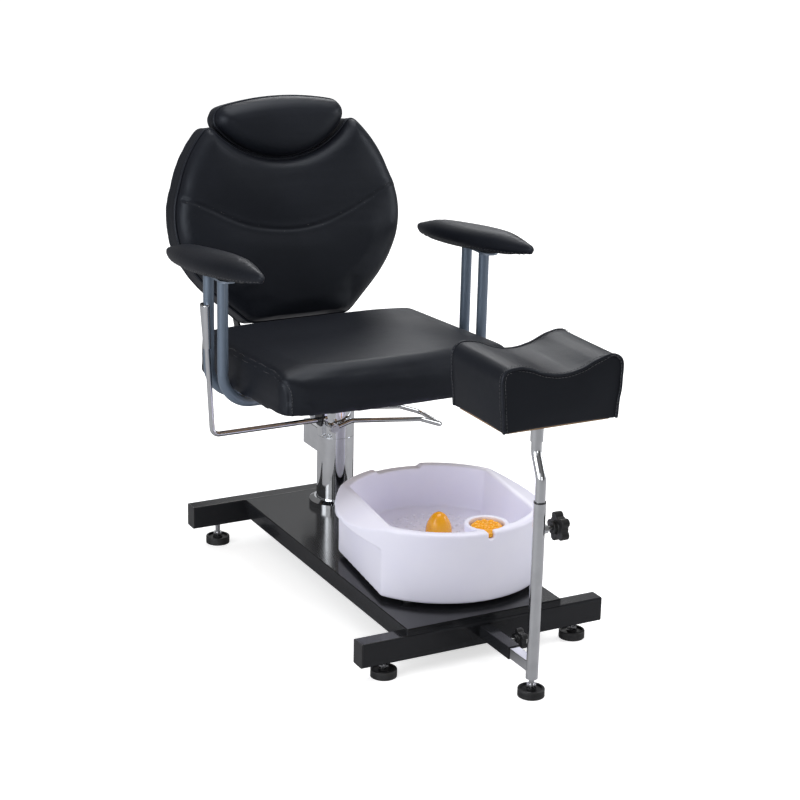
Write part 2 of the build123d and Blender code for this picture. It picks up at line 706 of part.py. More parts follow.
def behind_back(off, up):
    """Point in the Y-Z plane, off behind the back's front plane, up the back."""
    return (
        BACK_Y + up * sin(BACK_LEAN) + off * cos(BACK_LEAN),
        BACK_Z + up * cos(BACK_LEAN) - off * sin(BACK_LEAN),
    )


CLAMP_Y, CLAMP_Z = around_hinge(ARC_R, radians(CLAMP_ANGLE))

# quadrant ears on the seat rails, with the arc slot of the recline clamp
with BuildPart() as seat_ears:
    for side in SIDES:
        with BuildSketch(along_x(plate_start(side, RAIL_X1, EAR_T), 0, 0)):
            with BuildLine():
                Polyline(
                    (55, 369), (150, 369), (200, 370), (226, 378), (247, 396), (250.5, 410.3),
                    (228.5, 418.8), (217, 429), (213, 439), (205, 442), (196, 439), (190, 424),
                    (173, 396), (173, 377.5), (55, 377.5), close=True,
                )
            make_face()
            with Locations((HINGE_Y, HINGE_Z)):
                Circle(HINGE_PIN_R + FIT, mode=Mode.SUBTRACT)
            with BuildLine():
                start = radians(CLAMP_ANGLE - RECLINE - 2)
                end = radians(CLAMP_ANGLE + 2)
                inner, outer = [
                    ThreePointArc(
                        around_hinge(radius, start),
                        around_hinge(radius, (start + end) / 2),
                        around_hinge(radius, end),
                    )
                    for radius in (ARC_R - SLOT_HALF_W, ARC_R + SLOT_HALF_W)
                ]
                Line(inner @ 0, outer @ 0)
                Line(inner @ 1, outer @ 1)
            make_face(mode=Mode.SUBTRACT)
            for angle in (start, end):
                with Locations(around_hinge(ARC_R, angle)):
                    Circle(SLOT_HALF_W, mode=Mode.SUBTRACT)
        extrude(amount=EAR_T)
save(seat_ears.part, "seat_ears")

with BuildPart() as back_brackets:
    for side in SIDES:
        with BuildSketch(along_x(plate_start(side, BRACKET_X, BRACKET_T), 0, 0)):
            with BuildLine():
                Polyline(
                    (208, 441.5), (236, 437), (238.5, 443.5),
                    behind_back(FOOT_FRONT, 10), behind_back(FOOT_FRONT, 130),
                    behind_back(FOOT_REAR, 130), behind_back(FOOT_REAR, 60),
                    (268, 448), (248, 404), (232, 399), (196, 417), (191, 428), (197, 439.5),
                    close=True,
                )
            make_face()
            with Locations((HINGE_Y, HINGE_Z)):
                Circle(HINGE_PIN_R + FIT, mode=Mode.SUBTRACT)
            with Locations((CLAMP_Y, CLAMP_Z)):
                Circle(M8_R + FIT, mode=Mode.SUBTRACT)
        extrude(amount=BRACKET_T)
        # foot plate that is screwed to the back board
        with BuildSketch(back_plane(-FOOT_REAR, BRACKET_FOOT_UP, side * BRACKET_FOOT_X)):
            RectangleRounded(BRACKET_FOOT_W, BRACKET_FOOT_LENGTH, 4)
            with Locations((0, BRACKET_SCREW_DV), (0, -BRACKET_SCREW_DV)):
                Circle(3, mode=Mode.SUBTRACT)
        extrude(amount=BRACKET_FOOT_T)
save(back_brackets.part, "back_brackets")

with BuildPart() as back_screws:
    for side in SIDES:
        for dv in (BRACKET_SCREW_DV, -BRACKET_SCREW_DV):
            head_plane = back_plane(
                -FOOT_REAR - BACK_SCREW_HEAD_T, BRACKET_FOOT_UP + dv, side * BRACKET_FOOT_X
            )
            with BuildSketch(head_plane):
                Circle(5.5)
            extrude(amount=BACK_SCREW_HEAD_T)
            with BuildSketch(head_plane):
                Circle(2.8)
            extrude(amount=7)
save(back_screws.part, "back_screws")

with BuildPart() as back_pivot_pins:
    for side in SIDES:
        head_plane = along_x(side * (RAIL_X1 - 4), HINGE_Y, HINGE_Z, side)
        with BuildSketch(head_plane):
            Circle(HINGE_PIN_R)
        extrude(amount=19)
        with BuildSketch(head_plane):
            Circle(8.5)
        extrude(amount=3.8)
        with BuildSketch(head_plane.offset(14.4)):
            RegularPolygon(9, 6, major_radius=False)
        extrude(amount=6)
save(back_pivot_pins.part, "back_pivot_pins")

with BuildPart() as clamp_bolts:
    for side in SIDES:
        head_plane = along_x(side * (RAIL_X1 - 5), CLAMP_Y, CLAMP_Z, side)
        with BuildSketch(head_plane):
            Circle(M8_R)
        extrude(amount=19)
        with BuildSketch(head_plane):
            RegularPolygon(M8_HEX_R, 6, major_radius=False)
        extrude(amount=4.8)
        with BuildSketch(head_plane.offset(15.4)):
            RegularPolygon(M8_HEX_R, 6, major_radius=False)
        extrude(amount=5)
save(clamp_bolts.part, "clamp_bolts")

# ---------------------------------------------------------------- leg rest
RECEIVER_FRONT, RECEIVER_BACK = -748.0, -470.0
SLIDE_W, SLIDE_WALL, SLIDE_BACK = 20.8, 1.5, -500
SLIDE_KNOB_Y = -702.0

POST_Y, POST_R, POST_WALL = -812.0, 11.2, 1.5
POST_Z0, POST_BORE_Z0, POST_TOP = 34, 52, 373
POST_KNOB_Z = 321.0

BENT_R, BENT_WALL = 9.6, 1.5
SLEEVE_Y = POST_Y + 20.0           # the S bend steps towards the chair
LEG_SLEEVE_R, LEG_SLEEVE_Z0 = 11.6, 482
LEG_PLATE_Z, LEG_PLATE_W, LEG_PLATE_T = 526, 90, 4
LEG_SCREW_PITCH, LEG_SCREW_HEAD_T = 66, 3

LEG_HALF = 118.0
LEG_Y0, LEG_Y1 = -870.0, -690.0
LEG_LENGTH, LEG_MID_Y = LEG_Y1 - LEG_Y0, (LEG_Y0 + LEG_Y1) / 2
LEG_Z0 = 531.0
LEG_BOARD_T = 12

with BuildPart() as receiver_tube:
    with BuildSketch(facing_front(RECEIVER_BACK, 0, RECEIVER_Z)):
        RectangleRounded(RECEIVER_W, RECEIVER_W, 2)
        bore_w = RECEIVER_W - 2 * RECEIVER_WALL
        Rectangle(bore_w, bore_w, mode=Mode.SUBTRACT)
    extrude(amount=RECEIVER_BACK - RECEIVER_FRONT)
    # welded nut for the clamping knob
    with BuildSketch(along_x(RECEIVER_W / 2, SLIDE_KNOB_Y, RECEIVER_Z)):
        RegularPolygon(KNOB_NUT_R, 6, major_radius=False)
    extrude(amount=7)
    with BuildSketch(along_x(RECEIVER_W / 2 - 4, SLIDE_KNOB_Y, RECEIVER_Z)):
        Circle(M8_R + FIT)
    extrude(amount=20, mode=Mode.SUBTRACT)
save(receiver_tube.part, "receiver_tube")

with BuildPart() as slide_tube:
    with BuildSketch(facing_front(SLIDE_BACK, 0, RECEIVER_Z)):
        RectangleRounded(SLIDE_W, SLIDE_W, 1.5)
        bore_w = SLIDE_W - 2 * SLIDE_WALL
        RectangleRounded(bore_w, bore_w, 1, mode=Mode.SUBTRACT)
    extrude(amount=SLIDE_BACK - POST_Y)
    # the front end is coped to the post; slivers ahead of the cut are dropped
    with BuildSketch(flat(RECEIVER_Z - 30, 0, POST_Y)):
        Circle(POST_R + 0.02)
    extrude(amount=60, mode=Mode.SUBTRACT)
    largest = slide_tube.solids().sort_by(SortBy.VOLUME)[-1]
save(Part(largest.wrapped), "slide_tube")

with BuildPart() as post_tube:
    with BuildSketch(flat(POST_Z0, 0, POST_Y)):
        Circle(POST_R)
    extrude(amount=POST_TOP - POST_Z0)
    with BuildSketch(flat(POST_BORE_Z0, 0, POST_Y)):
        Circle(POST_R - POST_WALL)
    extrude(amount=400, mode=Mode.SUBTRACT)
    # hole for the levelling stud
    with BuildSketch(flat(20, 0, POST_Y)):
        Circle(STUD_R + FIT)
    extrude(amount=26, mode=Mode.SUBTRACT)
    # welded nut for the clamping knob, cut flush with the bore
    with BuildSketch(along_x(POST_R - 2, POST_Y, POST_KNOB_Z)):
        RegularPolygon(KNOB_NUT_R, 6, major_radius=False)
    extrude(amount=8)
    with BuildSketch(flat(POST_BORE_Z0, 0, POST_Y)):
        Circle(POST_R - POST_WALL)
    extrude(amount=400, mode=Mode.SUBTRACT)
    with BuildSketch(along_x(5, POST_Y, POST_KNOB_Z)):
        Circle(M8_R + FIT)
    extrude(amount=30, mode=Mode.SUBTRACT)
save(post_tube.part, "post_tube")

with BuildPart() as post_bush:
    with BuildSketch(flat(POST_TOP, 0, POST_Y)):
        Circle(POST_R)
    extrude(amount=2.6)
    with BuildSketch(flat(POST_TOP - 12, 0, POST_Y)):
        Circle(POST_R - POST_WALL - 0.02)
    extrude(amount=13)
    with BuildSketch(flat(POST_TOP - 18, 0, POST_Y)):
        Circle(BENT_R + 0.03)
    extrude(amount=30, mode=Mode.SUBTRACT)
save(post_bush.part, "post_bush")

# straight in the post, S bend towards the chair, straight in the sleeve
with BuildPart() as bent_tube:
    with BuildLine(along_x(0, 0, 0)) as path:
        FilletPolyline(
            (POST_Y, 150), (POST_Y, 420), (SLEEVE_Y, 462), (SLEEVE_Y, 520), radius=34
        )
    with BuildSketch(Plane(origin=path.line @ 0, x_dir=(1, 0, 0), z_dir=path.line % 0)):
        Circle(BENT_R)
        Circle(BENT_R - BENT_WALL, mode=Mode.SUBTRACT)
    sweep()
save(bent_tube.part, "bent_tube")

with BuildPart() as leg_sleeve:
    with BuildSketch(flat(LEG_SLEEVE_Z0, 0, SLEEVE_Y)):
        Circle(LEG_SLEEVE_R)
        Circle(BENT_R + FIT, mode=Mode.SUBTRACT)
    extrude(amount=LEG_PLATE_Z - LEG_SLEEVE_Z0)
    # closed top
    with BuildSketch(flat(LEG_PLATE_Z - 3.5, 0, SLEEVE_Y)):
        Circle(LEG_SLEEVE_R)
    extrude(amount=3.5)
    # square top plate screwed to the board
    with BuildSketch(flat(LEG_PLATE_Z, 0, SLEEVE_Y)):
        RectangleRounded(LEG_PLATE_W, LEG_PLATE_W, 8)
        with GridLocations(LEG_SCREW_PITCH, LEG_SCREW_PITCH, 2, 2):
            Circle(3, mode=Mode.SUBTRACT)
    extrude(amount=LEG_PLATE_T)
save(leg_sleeve.part, "leg_sleeve")

with BuildPart() as leg_screws:
    with Locations((0, COLUMN_Y + SLEEVE_Y, LEG_PLATE_Z - LEG_SCREW_HEAD_T)):
        with GridLocations(LEG_SCREW_PITCH, LEG_SCREW_PITCH, 2, 2):
            Cylinder(5, LEG_SCREW_HEAD_T, align=ON_BASE)
            Cylinder(2.8, 7, align=ON_BASE)
save(leg_screws.part, "leg_screws")

with BuildPart() as leg_board:
    with BuildSketch(flat(LEG_PLATE_Z + LEG_PLATE_T, 0, LEG_MID_Y)):
        RectangleRounded(2 * LEG_HALF - 20, LEG_LENGTH - 20, 8)
    extrude(amount=LEG_BOARD_T)
save(leg_board.part, "leg_board")

# block with a shallow trough along the top
with BuildPart() as leg_cushion:
    with BuildSketch(facing_front(LEG_Y1)):
        with BuildLine():
            Polyline((-116, LEG_Z0), (116, LEG_Z0), (124, 620))
            ThreePointArc((124, 620), (118, 643), (98, 651))
            ThreePointArc((98, 651), (76, 648.5), (56, 641))
            ThreePointArc((56, 641), (0, 628), (-56, 641))
            ThreePointArc((-56, 641), (-76, 648.5), (-98, 651))
            ThreePointArc((-98, 651), (-118, 643), (-124, 620))
            Line((-124, 620), (-116, LEG_Z0))
        make_face()
    extrude(amount=LEG_LENGTH)
    with BuildSketch(flat(LEG_Z0 - 1, 0, LEG_MID_Y)):
        RectangleRounded(2 * LEG_HALF - 18, LEG_LENGTH - 18, 8)
    extrude(amount=LEG_BOARD_T + 0.4, mode=Mode.SUBTRACT)
save(leg_cushion.part, "leg_cushion")


def star_knob(name, y, z, stud_x, hub_x, radius, head_h, hub_h, stud_depth):
    """Five-lobed head and its stud on an axis along +X; stud_depth is inside the head."""
    plane = along_x(hub_x, y, z)
    with BuildPart() as head:
        with BuildSketch(plane.offset(hub_h)):
            Circle(radius * 0.72)
            with PolarLocations(radius * 0.70, 5):
                Circle(radius * 0.30)
        extrude(amount=head_h)
        fillet(head.faces().sort_by(Axis(plane.origin, plane.z_dir))[-1].edges(), 2)
        with BuildSketch(plane):
            Circle(radius * 0.42)
        extrude(amount=hub_h)
        with BuildSketch(plane.offset(-1)):
            Circle(M8_R)
        extrude(amount=hub_h + head_h * 0.6, mode=Mode.SUBTRACT)
    save(head.part, name)

    with BuildPart() as stud:
        with BuildSketch(along_x(stud_x, y, z)):
            Circle(M8_R)
        extrude(amount=hub_x + hub_h + stud_depth - stud_x)
    save(stud.part, name + "_stud")


star_knob(
    "post_knob", POST_Y, POST_KNOB_Z, stud_x=BENT_R + 0.1, hub_x=POST_R + 15.5,
    radius=28, head_h=16, hub_h=8, stud_depth=8,
)
star_knob(
    "slide_knob", SLIDE_KNOB_Y, RECEIVER_Z, stud_x=SLIDE_W / 2 + 0.1, hub_x=RECEIVER_W / 2 + 16,
    radius=20.5, head_h=13, hub_h=6, stud_depth=6,
)

# ---------------------------------------------------------------- levelling feet
FOOT_R, FOOT_H = 25.0, 15.0
SOCKET_Z = 5
# name: x, y, height that sets the stud's top
FEET = {
    "front_right": (-FRONT_FOOT_X, FRONT_BEAM_Y, 62.0),
    "front_left": (FRONT_FOOT_X, FRONT_BEAM_Y, 62.0),
    "rear_right": (-REAR_FOOT_X, REAR_BEAM_Y, 74.0),
    "rear_left": (REAR_FOOT_X, REAR_BEAM_Y, 74.0),
    "post": (0.0, POST_Y, 44.0),
}
for name, (x, y, stud_top) in FEET.items():
    with BuildPart() as foot:
        # rubber pad with a dished top
        with BuildSketch(flat(0, x, y)):
            Circle(FOOT_R)
        extrude(amount=FOOT_H)
        fillet(foot.edges().filter_by(GeomType.CIRCLE).group_by(Axis.Z)[-1], 2)
        with BuildSketch(flat(FOOT_H - 4, x, y)):
            Circle(FOOT_R - 4.5)
            Circle(10, mode=Mode.SUBTRACT)
        extrude(amount=6, mode=Mode.SUBTRACT)
        with BuildSketch(flat(SOCKET_Z, x, y)):
            Circle(STUD_R + FIT)
        extrude(amount=20, mode=Mode.SUBTRACT)
        # stud with its lock nut, a separate solid in the pad's socket
        with BuildSketch(flat(SOCKET_Z + 0.02, x, y)):
            Circle(STUD_R)
        extrude(amount=stud_top - SOCKET_Z)
        with BuildSketch(flat(FOOT_H + 0.5, x, y)):
            RegularPolygon(STUD_NUT_R, 6, major_radius=False)
        extrude(amount=7.5)
    save(foot.part, "foot_" + name)

# ---------------------------------------------------------------- foot basin
BASIN_X, BASIN_Y = 28.0, -406.0
BASIN_R, BASIN_Z0, BASIN_Z1 = 205.0, 101.0, 240.0
BASIN_TURN = -6.5      # degrees; the loose basin stands slightly turned on the plate
WELL_Z = 152.0         # floor of the foot well
POCKET_X, POCKET_Y = BASIN_X + 33.3, BASIN_Y - 151.2
TAB_X = POCKET_X - 11.6
DOME_X, DOME_Y = 43.0, -378.0


def turned(part):
    axis = Axis((BASIN_X, COLUMN_Y + BASIN_Y, 0), (0, 0, 1))
    return Part(part.rotate(axis, BASIN_TURN).wrapped)


with BuildPart() as basin:
    with BuildSketch(flat(BASIN_Z0, BASIN_X, BASIN_Y)):
        Circle(BASIN_R)
    extrude(amount=BASIN_Z1 - BASIN_Z0)
    fillet(basin.edges().filter_by(GeomType.CIRCLE).group_by(Axis.Z)[0], 4)
    fillet(basin.edges().filter_by(GeomType.CIRCLE).group_by(Axis.Z)[-1], 5)
    # side flats below the hand lips, and the sloping tops of the lips
    for side in SIDES:
        with BuildSketch(facing_front(BASIN_Y + 230, BASIN_X, 0)):
            with BuildLine():
                Polyline(
                    (side * 166, BASIN_Z0 - 5), (side * 167, 196), (side * 210, 214),
                    (side * 240, 214), (side * 240, BASIN_Z0 - 5), close=True,
                )
            make_face()
        extrude(amount=460, mode=Mode.SUBTRACT)
        with BuildSketch(facing_front(BASIN_Y + 230, BASIN_X, 0)):
            with BuildLine():
                Polyline(
                    (side * 158, BASIN_Z1 + 1), (side * 158, BASIN_Z1),
                    (side * 206, 220), (side * 206, BASIN_Z1 + 1), close=True,
                )
            make_face()
        extrude(amount=460, mode=Mode.SUBTRACT)
    # foot well
    with BuildSketch(flat(BASIN_Z1, BASIN_X, BASIN_Y)):
        Circle(185)
        Rectangle(294, 400, mode=Mode.INTERSECT)
    extrude(amount=-(BASIN_Z1 - WELL_Z), taper=5, mode=Mode.SUBTRACT)
    # boss and round pocket in the front rim, with a notch in front
    with BuildSketch(flat(WELL_Z - 1, POCKET_X, POCKET_Y)):
        Circle(43)
    extrude(amount=BASIN_Z1 - WELL_Z - 1)
    with BuildSketch(flat(BASIN_Z1, POCKET_X, POCKET_Y)):
        Circle(34)
    extrude(amount=-26, mode=Mode.SUBTRACT)
    with BuildSketch(flat(BASIN_Z1, TAB_X, POCKET_Y - 40)):
        Rectangle(14, 48)
    extrude(amount=-15, mode=Mode.SUBTRACT)
    # dip in the rear rim
    with BuildSketch(facing_front(BASIN_Y + 230, BASIN_X - 16, BASIN_Z1)):
        with BuildLine():
            Polyline((-54, 1), (-46, -7), (46, -7), (54, 1), close=True)
        make_face()
    extrude(amount=80, mode=Mode.SUBTRACT)
    # hollow underside and hollow double wall
    with BuildSketch(flat(BASIN_Z0, BASIN_X, BASIN_Y)):
        Circle(BASIN_R - 14)
        Rectangle(2 * 160, 500, mode=Mode.INTERSECT)
    extrude(amount=WELL_Z - 5 - BASIN_Z0, mode=Mode.SUBTRACT)
    with BuildSketch(flat(WELL_Z - 6, BASIN_X, BASIN_Y)):
        Circle(BASIN_R - 5)
        Rectangle(2 * 161, 500, mode=Mode.INTERSECT)
        Circle(189, mode=Mode.SUBTRACT)
    extrude(amount=60, mode=Mode.SUBTRACT)
save(turned(basin.part), "basin")

with BuildPart() as basin_bottom:
    with BuildSketch(flat(BASIN_Z0, BASIN_X, BASIN_Y)):
        Circle(BASIN_R - 14.5)
        Rectangle(2 * 159.5, 500, mode=Mode.INTERSECT)
    extrude(amount=4)
save(turned(basin_bottom.part), "basin_bottom")

with BuildPart() as basin_feet:
    with BuildSketch(flat(PLATE_TOP, 0, BASIN_Y)):
        with Locations((-100, -120), (125, -120), (-100, 120), (125, 120)):
            Circle(14)
    extrude(amount=BASIN_Z0 - PLATE_TOP)
save(basin_feet.part, "basin_feet")

with BuildPart() as massage_dome:
    with BuildSketch(facing_front(DOME_Y, DOME_X, WELL_Z)):
        with BuildLine():
            Polyline((0, 44), (0, 0), (26, 0))
            ThreePointArc((26, 0), (24.5, 17), (17.5, 32))
            ThreePointArc((17.5, 32), (11, 40), (3, 44))
            Line((3, 44), (0, 44))
        make_face()
    revolve(axis=Axis((DOME_X, COLUMN_Y + DOME_Y, 0), (0, 0, 1)))
save(massage_dome.part, "massage_dome")

# knobbly disc in the pocket, with a lifting tab in the notch
with BuildPart() as massage_roller:
    with BuildSketch(flat(BASIN_Z1 - 25.5, POCKET_X, POCKET_Y)):
        Circle(31)
    extrude(amount=19)
    fillet(massage_roller.edges().filter_by(GeomType.CIRCLE).group_by(Axis.Z)[-1], 5)
    with BuildSketch(flat(BASIN_Z1 - 14, TAB_X, POCKET_Y - 33)):
        Rectangle(11, 22)
    extrude(amount=8)
    with Locations((POCKET_X, COLUMN_Y + POCKET_Y, BASIN_Z1 - 8)):
        for ring_r, count in ((20, 9), (9, 3)):
            with PolarLocations(ring_r, count):
                Sphere(6)
save(turned(massage_roller.part), "massage_roller")
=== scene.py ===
# Treatment chair on a column: seat, backrest, headrest, arm pads, leg rest and foot basin.
# It faces -Y, +Z is up, and "right" is the sitter's right, -X. Design sizes are millimetres
# from the column axis and the floor; meshes and tuning values marked so are metres.
import json
import math

import bpy
import bmesh
import numpy as np
from mathutils import Matrix, Vector
from mathutils.bvhtree import BVHTree
from mathutils.geometry import delaunay_2d_cdt
from mathutils.kdtree import KDTree


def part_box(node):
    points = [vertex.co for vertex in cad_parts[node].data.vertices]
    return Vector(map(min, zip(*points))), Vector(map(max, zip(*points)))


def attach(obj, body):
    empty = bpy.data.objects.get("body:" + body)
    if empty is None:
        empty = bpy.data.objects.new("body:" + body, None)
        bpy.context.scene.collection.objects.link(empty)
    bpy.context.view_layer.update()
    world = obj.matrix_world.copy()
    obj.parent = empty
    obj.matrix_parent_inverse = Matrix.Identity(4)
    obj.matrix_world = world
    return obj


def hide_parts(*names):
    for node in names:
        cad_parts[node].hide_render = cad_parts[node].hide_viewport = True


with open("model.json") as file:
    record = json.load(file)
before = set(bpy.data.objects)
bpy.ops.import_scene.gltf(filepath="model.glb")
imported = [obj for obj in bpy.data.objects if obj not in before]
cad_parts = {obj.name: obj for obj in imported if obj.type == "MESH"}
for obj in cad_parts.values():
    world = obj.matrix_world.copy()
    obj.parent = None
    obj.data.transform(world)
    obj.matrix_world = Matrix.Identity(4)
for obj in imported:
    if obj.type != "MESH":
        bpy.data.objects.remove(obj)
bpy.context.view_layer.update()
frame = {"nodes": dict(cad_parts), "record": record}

NODES = frame["nodes"]
SLOT = {part["node"]: part["material_slot"] for part in frame["record"]["subparts"]}
scene = bpy.context.scene

# Seat plane: origin at the front, y runs to the rear, up is square to the plane.
SEAT_Y, SEAT_Z = -305, 407
SEAT_TILT = 3.4  # degrees, rear edge low
SEAT_LENGTH = 458.8
SEAT_HALF_WIDTH = 258

# Back plane: height runs up the back, off is the distance in front of the plane.
BACK_Y, BACK_Z = 180, 480
BACK_LEAN = 14  # degrees from upright
BACK_EDGE, BACK_REAR = -13, -60  # off of the front sewn edge and of the rear face
HEAD_EDGE, HEAD_REAR = -19, -54
GUIDE_X, GUIDE_OFF = 60, -26  # axes of the two headrest guide bores
GUIDE_BOTTOM = 190

# Arm pads
PAD_X, PAD_Y, PAD_Z = 295, -52.5, 639
PAD_SHIFT = 11  # the pad's middle lies this far behind PAD_Y along its own length
PAD_RISE = 6.5  # degrees, front tip high
PAD_LENGTH, PAD_WIDTH = 485, 86
PAD_BASE, PAD_EDGE = 2.6, 19.5  # heights of the underside and of the upper edge

LEG_Y = -780  # middle of the leg rest
LEG_SEAM = 89  # from the middle to each sewn edge


# ------------------------------------------------------------------ places
def box_centre(node):
    low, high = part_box(node)
    return (low.x + high.x) / 2, (low.y + high.y) / 2


COLUMN_X, COLUMN_Y = box_centre("outer_sleeve")


def at(x, y, z):
    """Millimetres from the column axis as a point in metres."""
    return np.array((COLUMN_X + x / 1000, COLUMN_Y + y / 1000, z / 1000))


def sin_d(angle):
    return math.sin(math.radians(angle))


def cos_d(angle):
    return math.cos(math.radians(angle))


SEAT_UP = np.array((0, sin_d(SEAT_TILT), cos_d(SEAT_TILT)))
SEAT_REARWARD = np.array((0, cos_d(SEAT_TILT), -sin_d(SEAT_TILT)))
BACK_UP = np.array((0, sin_d(BACK_LEAN), cos_d(BACK_LEAN)))
BACK_FORWARD = np.array((0, -cos_d(BACK_LEAN), sin_d(BACK_LEAN)))


def seat_point(x, y, up):
    return at(
        x,
        SEAT_Y + y * cos_d(SEAT_TILT) + up * sin_d(SEAT_TILT),
        SEAT_Z - y * sin_d(SEAT_TILT) + up * cos_d(SEAT_TILT),
    )


def back_point(x, height, off):
    return at(
        x,
        BACK_Y + height * sin_d(BACK_LEAN) - off * cos_d(BACK_LEAN),
        BACK_Z + height * cos_d(BACK_LEAN) + off * sin_d(BACK_LEAN),
    )


def seat_coords(points):
    """Metres across, to the rear and up in the seat's frame."""
    offset = points - seat_point(0, 0, 0)
    return offset[:, 0], offset @ SEAT_REARWARD, offset @ SEAT_UP


def back_coords(points):
    """Metres across, up and forward in the back's frame."""
    offset = points - back_point(0, 0, 0)
    return offset[:, 0], offset @ BACK_UP, offset @ BACK_FORWARD


# ------------------------------------------------------------------ curves
def arc3(first, middle, last, steps):
    """Points on the circle through three points in a plane."""
    (x1, y1), (x2, y2), (x3, y3) = first, middle, last
    square1, square2, square3 = x1**2 + y1**2, x2**2 + y2**2, x3**2 + y3**2
    scale = 2 * (x1 * (y2 - y3) + x2 * (y3 - y1) + x3 * (y1 - y2))
    x = (square1 * (y2 - y3) + square2 * (y3 - y1) + square3 * (y1 - y2)) / scale
    y = (square1 * (x3 - x2) + square2 * (x1 - x3) + square3 * (x2 - x1)) / scale
    radius = math.hypot(x1 - x, y1 - y)
    start, via, end = (math.atan2(p[1] - y, p[0] - x) for p in (first, middle, last))
    full = 2 * math.pi
    if (via - start) % full < (end - start) % full:
        sweep = (end - start) % full
    else:
        sweep = -((start - end) % full)
    angles = [start + sweep * i / steps for i in range(steps + 1)]
    return [(x + radius * math.cos(a), y + radius * math.sin(a)) for a in angles]


def spline(points, steps=14):
    """Catmull-Rom curve through the points."""
    p = [np.asarray(point, float) for point in points]
    p = [2 * p[0] - p[1]] + p + [2 * p[-1] - p[-2]]
    curve = []
    for i in range(1, len(p) - 2):
        for k in range(steps):
            t = k / steps
            curve.append(
                0.5
                * (
                    2 * p[i]
                    + (p[i + 1] - p[i - 1]) * t
                    + (2 * p[i - 1] - 5 * p[i] + 4 * p[i + 1] - p[i + 2]) * t**2
                    + (3 * p[i] - p[i - 1] - 3 * p[i + 1] + p[i + 2]) * t**3
                )
            )
    curve.append(p[-2])
    return np.array(curve)


def resample(points, step, closed=False):
    """Evenly spaced points on a polyline, without repeated points."""
    path = np.asarray(points, float)
    if closed:
        path = np.vstack([path, path[:1]])
    path = path[np.r_[True, np.linalg.norm(np.diff(path, axis=0), axis=1) > 1e-7]]
    run = np.r_[0, np.cumsum(np.linalg.norm(np.diff(path, axis=0), axis=1))]
    count = max(3, int(round(run[-1] / step)))
    places = np.linspace(0, run[-1], count + 1)
    even_path = np.stack([np.interp(places, run, path[:, i]) for i in range(3)], 1)
    return even_path[:-1] if closed else even_path


def even(outline, step):
    """Evenly spaced points on a closed plane outline."""
    flat = np.c_[np.asarray(outline, float), np.zeros(len(outline))]
    return resample(flat, step, True)[:, :2]


def soften(points, times, closed=False):
    path = np.asarray(points, float).copy()
    for _ in range(times):
        mean = (np.roll(path, 1, 0) + 2 * path + np.roll(path, -1, 0)) / 4
        if not closed:
            mean[0], mean[-1] = path[0], path[-1]
        path = mean
    return path


def unit(vectors):
    return vectors / np.maximum(np.linalg.norm(vectors, axis=-1, keepdims=True), 1e-12)


def quarter(t):
    """Quarter round: 0 up to 0, 1 from 1 on."""
    return math.sqrt(max(0.0, 1 - (1 - min(max(t, 0.0), 1.0)) ** 2))


def mirrored(points):
    """The points on the other side of x = 0, in reverse order."""
    return [(-x, y) for x, y in reversed(points)]


# ------------------------------------------------------------------ plane outlines
def edge_distance(points, outline):
    """Distance of the points to the closed outline, in its plane."""
    side = np.roll(outline, -1, 0) - outline
    square = np.maximum((side**2).sum(1), 1e-12)
    chunk = 400  # points at a time, to spare memory
    found = []
    for k in range(0, len(points), chunk):
        gap = points[k : k + chunk, None, :] - outline[None]
        t = np.clip((gap * side[None]).sum(2) / square[None], 0, 1)
        found.append(np.sqrt(((gap - t[..., None] * side[None]) ** 2).sum(2)).min(1))
    return np.concatenate(found)


def inside(points, outline):
    x, y = points[:, 0][:, None], points[:, 1][:, None]
    start, end = outline, np.roll(outline, -1, 0)
    crosses = (start[None, :, 1] > y) != (end[None, :, 1] > y)
    rise = end[:, 1] - start[:, 1]
    rise = np.where(np.abs(rise) < 1e-9, 1e-9, rise)
    slope = (end[:, 0] - start[:, 0]) / rise
    cut = start[None, :, 0] + (y - start[None, :, 1]) * slope[None]
    return (crosses & (x < cut)).sum(1) % 2 == 1


def inward(outline):
    """Unit normals that point into the outline."""
    after = np.roll(outline, -1, 0)
    tangent = unit(after - np.roll(outline, 1, 0))
    area = (outline[:, 0] * after[:, 1] - after[:, 0] * outline[:, 1]).sum()
    return np.c_[-tangent[:, 1], tangent[:, 0]] * (1 if area > 0 else -1)


def inset(outline, gap):
    """The outline moved inwards; points that would cross over are dropped."""
    moved = outline + inward(outline) * gap
    return moved[(edge_distance(moved, outline) > 0.985 * gap) & inside(moved, outline)]


def triangulate(points, border_count):
    """Points, faces and source indices of a flat mesh whose border is the first points."""
    found = delaunay_2d_cdt(
        [Vector(point) for point in points], [], [list(range(border_count))], 1, 1e-3
    )
    return found[0], found[2], found[3]


# ------------------------------------------------------------------ meshes
def new_object(name, verts, faces):
    mesh = bpy.data.meshes.new(name)
    mesh.from_pydata(
        [tuple(map(float, vert)) for vert in verts], [], [tuple(map(int, face)) for face in faces]
    )
    mesh.validate()
    mesh.update()
    obj = bpy.data.objects.new(name, mesh)
    set_smooth(obj)
    scene.collection.objects.link(obj)
    return obj


def set_smooth(obj):
    obj.data.polygons.foreach_set("use_smooth", [True] * len(obj.data.polygons))


def finish(obj, body, slot, material=None):
    """Gives the object its material, by default the slot's own, and parents it to its body's empty.
    """
    obj.data.materials.clear()
    obj.data.materials.append(material or MATERIALS[slot])
    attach(obj, body)


def add_piece(name, shape, body, slot, material=None):
    finish(new_object(name, *shape), body, slot, material)


def read_vectors(items, field):
    values = np.zeros(len(items) * 3, np.float32)
    items.foreach_get(field, values)
    return values.reshape(-1, 3).astype(float)


def coords(mesh):
    return read_vectors(mesh.vertices, "co")


def normals(mesh):
    return read_vectors(mesh.vertex_normals, "vector")


def set_coords(mesh, points):
    mesh.vertices.foreach_set("co", np.asarray(points, np.float32).ravel())
    mesh.update()


